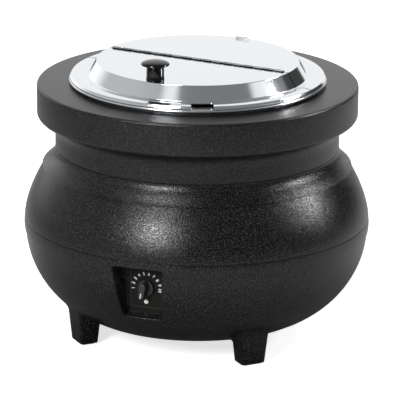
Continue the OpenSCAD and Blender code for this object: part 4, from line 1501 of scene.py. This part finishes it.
@dataclass(frozen=True)
class Softbox:
    """A soft lamp that faces the kettle."""

    name: str
    azimuth: float
    elevation: float
    size: tuple[float, float]
    radiance: float
    distance: float = 2.0
    focus_z: float = 0.17

    def build(self) -> None:
        """Make the lamp, aimed at the middle of the kettle."""
        course = Vector(direction(self.azimuth, self.elevation))
        lamp = bpy.data.lights.new(self.name, "AREA")
        lamp.shape = "RECTANGLE"
        lamp.size, lamp.size_y = self.size
        lamp.energy = self.radiance * math.pi * self.size[0] * self.size[1]
        holder = bpy.data.objects.new(self.name, lamp)
        holder.location = Vector((0, 0, self.focus_z)) + course * self.distance
        holder.rotation_euler = course.to_track_quat("Z", "Y").to_euler()
        holder.visible_camera = False
        bpy.context.scene.collection.objects.link(holder)


@dataclass(frozen=True)
class Card:
    """A round board in the room's walls, pale to fill a reflection or black to hold it back."""

    azimuth: float
    elevation: float
    half_angle: float
    soft: float
    level: float

    def edges(self) -> tuple[float, ...]:
        """Cosines of the angles between which the board fades in."""
        return tuple(math.cos(math.radians(self.half_angle + give)) for give in (self.soft, -self.soft))


@dataclass
class Studio:
    """Camera, pale floor, surroundings and lamps."""

    distance: float = 3.336
    camera_z: float = 1.1772
    aim_z: float = 0.1474
    aim_right: float = 0.0036
    roll: float = 0.497
    lens: float = 280.7
    sensor: float = 36.0
    floor_r: float = 6000.0
    floor_drop: float = 0.0002
    front_grey: float = 0.215
    rear_edges: Point = (-0.82, -0.42)
    left_grey: float = 0.34
    left_edges: Point = (0.1, 0.9)
    fill: float = 0.2
    cards: tuple[Card, ...] = (
        Card(CAMERA_AZIMUTH - 35, 43, 8, 3, 0.95),
        Card(CAMERA_AZIMUTH + 79, 34, 9, 4, 0.95),
        Card(CAMERA_AZIMUTH + 130, 12, 19, 2.5, 0.05),
    )
    lamps: tuple[Softbox, ...] = (
        Softbox("left_softbox", CAMERA_AZIMUTH - 29, 24, (0.5, 0.44), 38.0),
        Softbox("left_top_softbox", CAMERA_AZIMUTH - 44, 62, (0.45, 0.45), 19.0),
        Softbox("right_softbox", CAMERA_AZIMUTH + 89, 25, (0.3, 0.5), 38.0),
        Softbox("right_top_softbox", CAMERA_AZIMUTH + 110, 42, (0.4, 0.4), 20.0),
    )

    def build_camera(self) -> None:
        """Place the camera."""
        turn = math.radians(CAMERA_AZIMUTH)
        lens = bpy.data.cameras.new("camera")
        lens.lens, lens.sensor_width = self.lens, self.sensor
        holder = bpy.data.objects.new("camera", lens)
        spot = Vector((self.distance * math.sin(turn), -self.distance * math.cos(turn), self.camera_z))
        aim = Vector((self.aim_right * math.cos(turn), self.aim_right * math.sin(turn), self.aim_z))
        facing = (aim - spot).to_track_quat("-Z", "Y") @ Quaternion((0, 0, 1), math.radians(self.roll))
        holder.location, holder.rotation_euler = spot, facing.to_euler()
        bpy.context.scene.collection.objects.link(holder)
        bpy.context.scene.camera = holder

    def build_floor(self) -> None:
        """Lay a pale floor that shows white, keeps the kettle's shadow and has painted shadow round it."""
        mesh = bmesh.new()
        bmesh.ops.create_circle(mesh, cap_ends=True, segments=96, radius=self.floor_r)
        floor = new_piece("floor", mesh)
        floor.location.z = -self.floor_drop
        FLOOR_PAINT.dress(floor)

    def shade_walls(
        self, tree: bpy.types.NodeTree, course: Direction, edges: tuple[float, ...], levels: Point = (0.0, 1.0)
    ) -> bpy.types.Node:
        """Shade the room by the angle between each place on its walls and a course.

        Args:
            tree: The room's node tree.
            course: The course, as a unit vector.
            edges: Cosines of the angles between which the shade changes.
            levels: Levels on the near and the far side of those angles.

        Returns:
            Node that gives the level.
        """
        place = add_node(tree, "ShaderNodeTexCoord").outputs["Generated"]
        cosine = add_node(tree, "ShaderNodeVectorMath", {0: place, 1: course}, operation="DOT_PRODUCT")
        return add_node(
            tree, "ShaderNodeMapRange",
            {"Value": cosine, **span(edges), "To Min": levels[0], "To Max": levels[1]},
            interpolation_type="SMOOTHSTEP",
        )

    def build_surroundings(self) -> None:
        """Make a room that shows white, and that metal mirrors as a studio: grey in front, with its boards."""
        world = bpy.data.worlds.new("room")
        bpy.context.scene.world = world
        world.use_nodes = True
        tree = world.node_tree
        tree.nodes.clear()
        grey = self.shade_walls(tree, direction(CAMERA_AZIMUTH), self.rear_edges, (1.0, self.front_grey))
        paler = self.shade_walls(tree, direction(CAMERA_AZIMUTH - 90), self.left_edges, (0.0, self.left_grey))
        level = add_node(tree, "ShaderNodeMath", {0: grey, 1: paler}, operation="ADD")
        for card in self.cards:
            mask = self.shade_walls(tree, direction(card.azimuth, card.elevation), card.edges())
            level = add_node(
                tree, "ShaderNodeMix", {SHARE: mask, FIRST_NUMBER: level, SECOND_NUMBER: card.level},
                data_type="FLOAT",
            )
        ray = add_node(tree, "ShaderNodeLightPath").outputs
        lit = add_node(
            tree, "ShaderNodeMix", {SHARE: ray["Is Glossy Ray"], FIRST_NUMBER: self.fill, SECOND_NUMBER: level},
            data_type="FLOAT",
        )
        seen = add_node(
            tree, "ShaderNodeMath", {0: ray["Is Camera Ray"], 1: ray["Is Transmission Ray"]}, operation="MAXIMUM"
        )
        shown = add_node(
            tree, "ShaderNodeMix", {SHARE: seen, FIRST_NUMBER: lit, SECOND_NUMBER: 1.0}, data_type="FLOAT"
        )
        back = add_node(tree, "ShaderNodeBackground", {"Color": (1, 1, 1, 1), "Strength": shown})
        add_node(tree, "ShaderNodeOutputWorld", {"Surface": back})

    def build(self) -> None:
        """Make the studio."""
        self.build_camera()
        self.build_floor()
        self.build_surroundings()
        for lamp in self.lamps:
            lamp.build()
        bpy.context.scene.view_settings.view_transform = "Standard"


def main() -> None:
    """Build the kettle and its studio, and report each piece."""
    logging.basicConfig(level=logging.INFO, format="%(message)s")
    log = logging.getLogger("kettle")
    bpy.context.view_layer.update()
    Studio().build()
    for assembly in (MouldedBody(), ControlPanel(), SpunPots(), FoldingLid(), LidKnob(), WorkingParts()):
        assembly.build()
        for name in assembly.made:
            log.info("%s: %s", type(assembly).__name__, name)


if __name__ == "__main__":
    main()
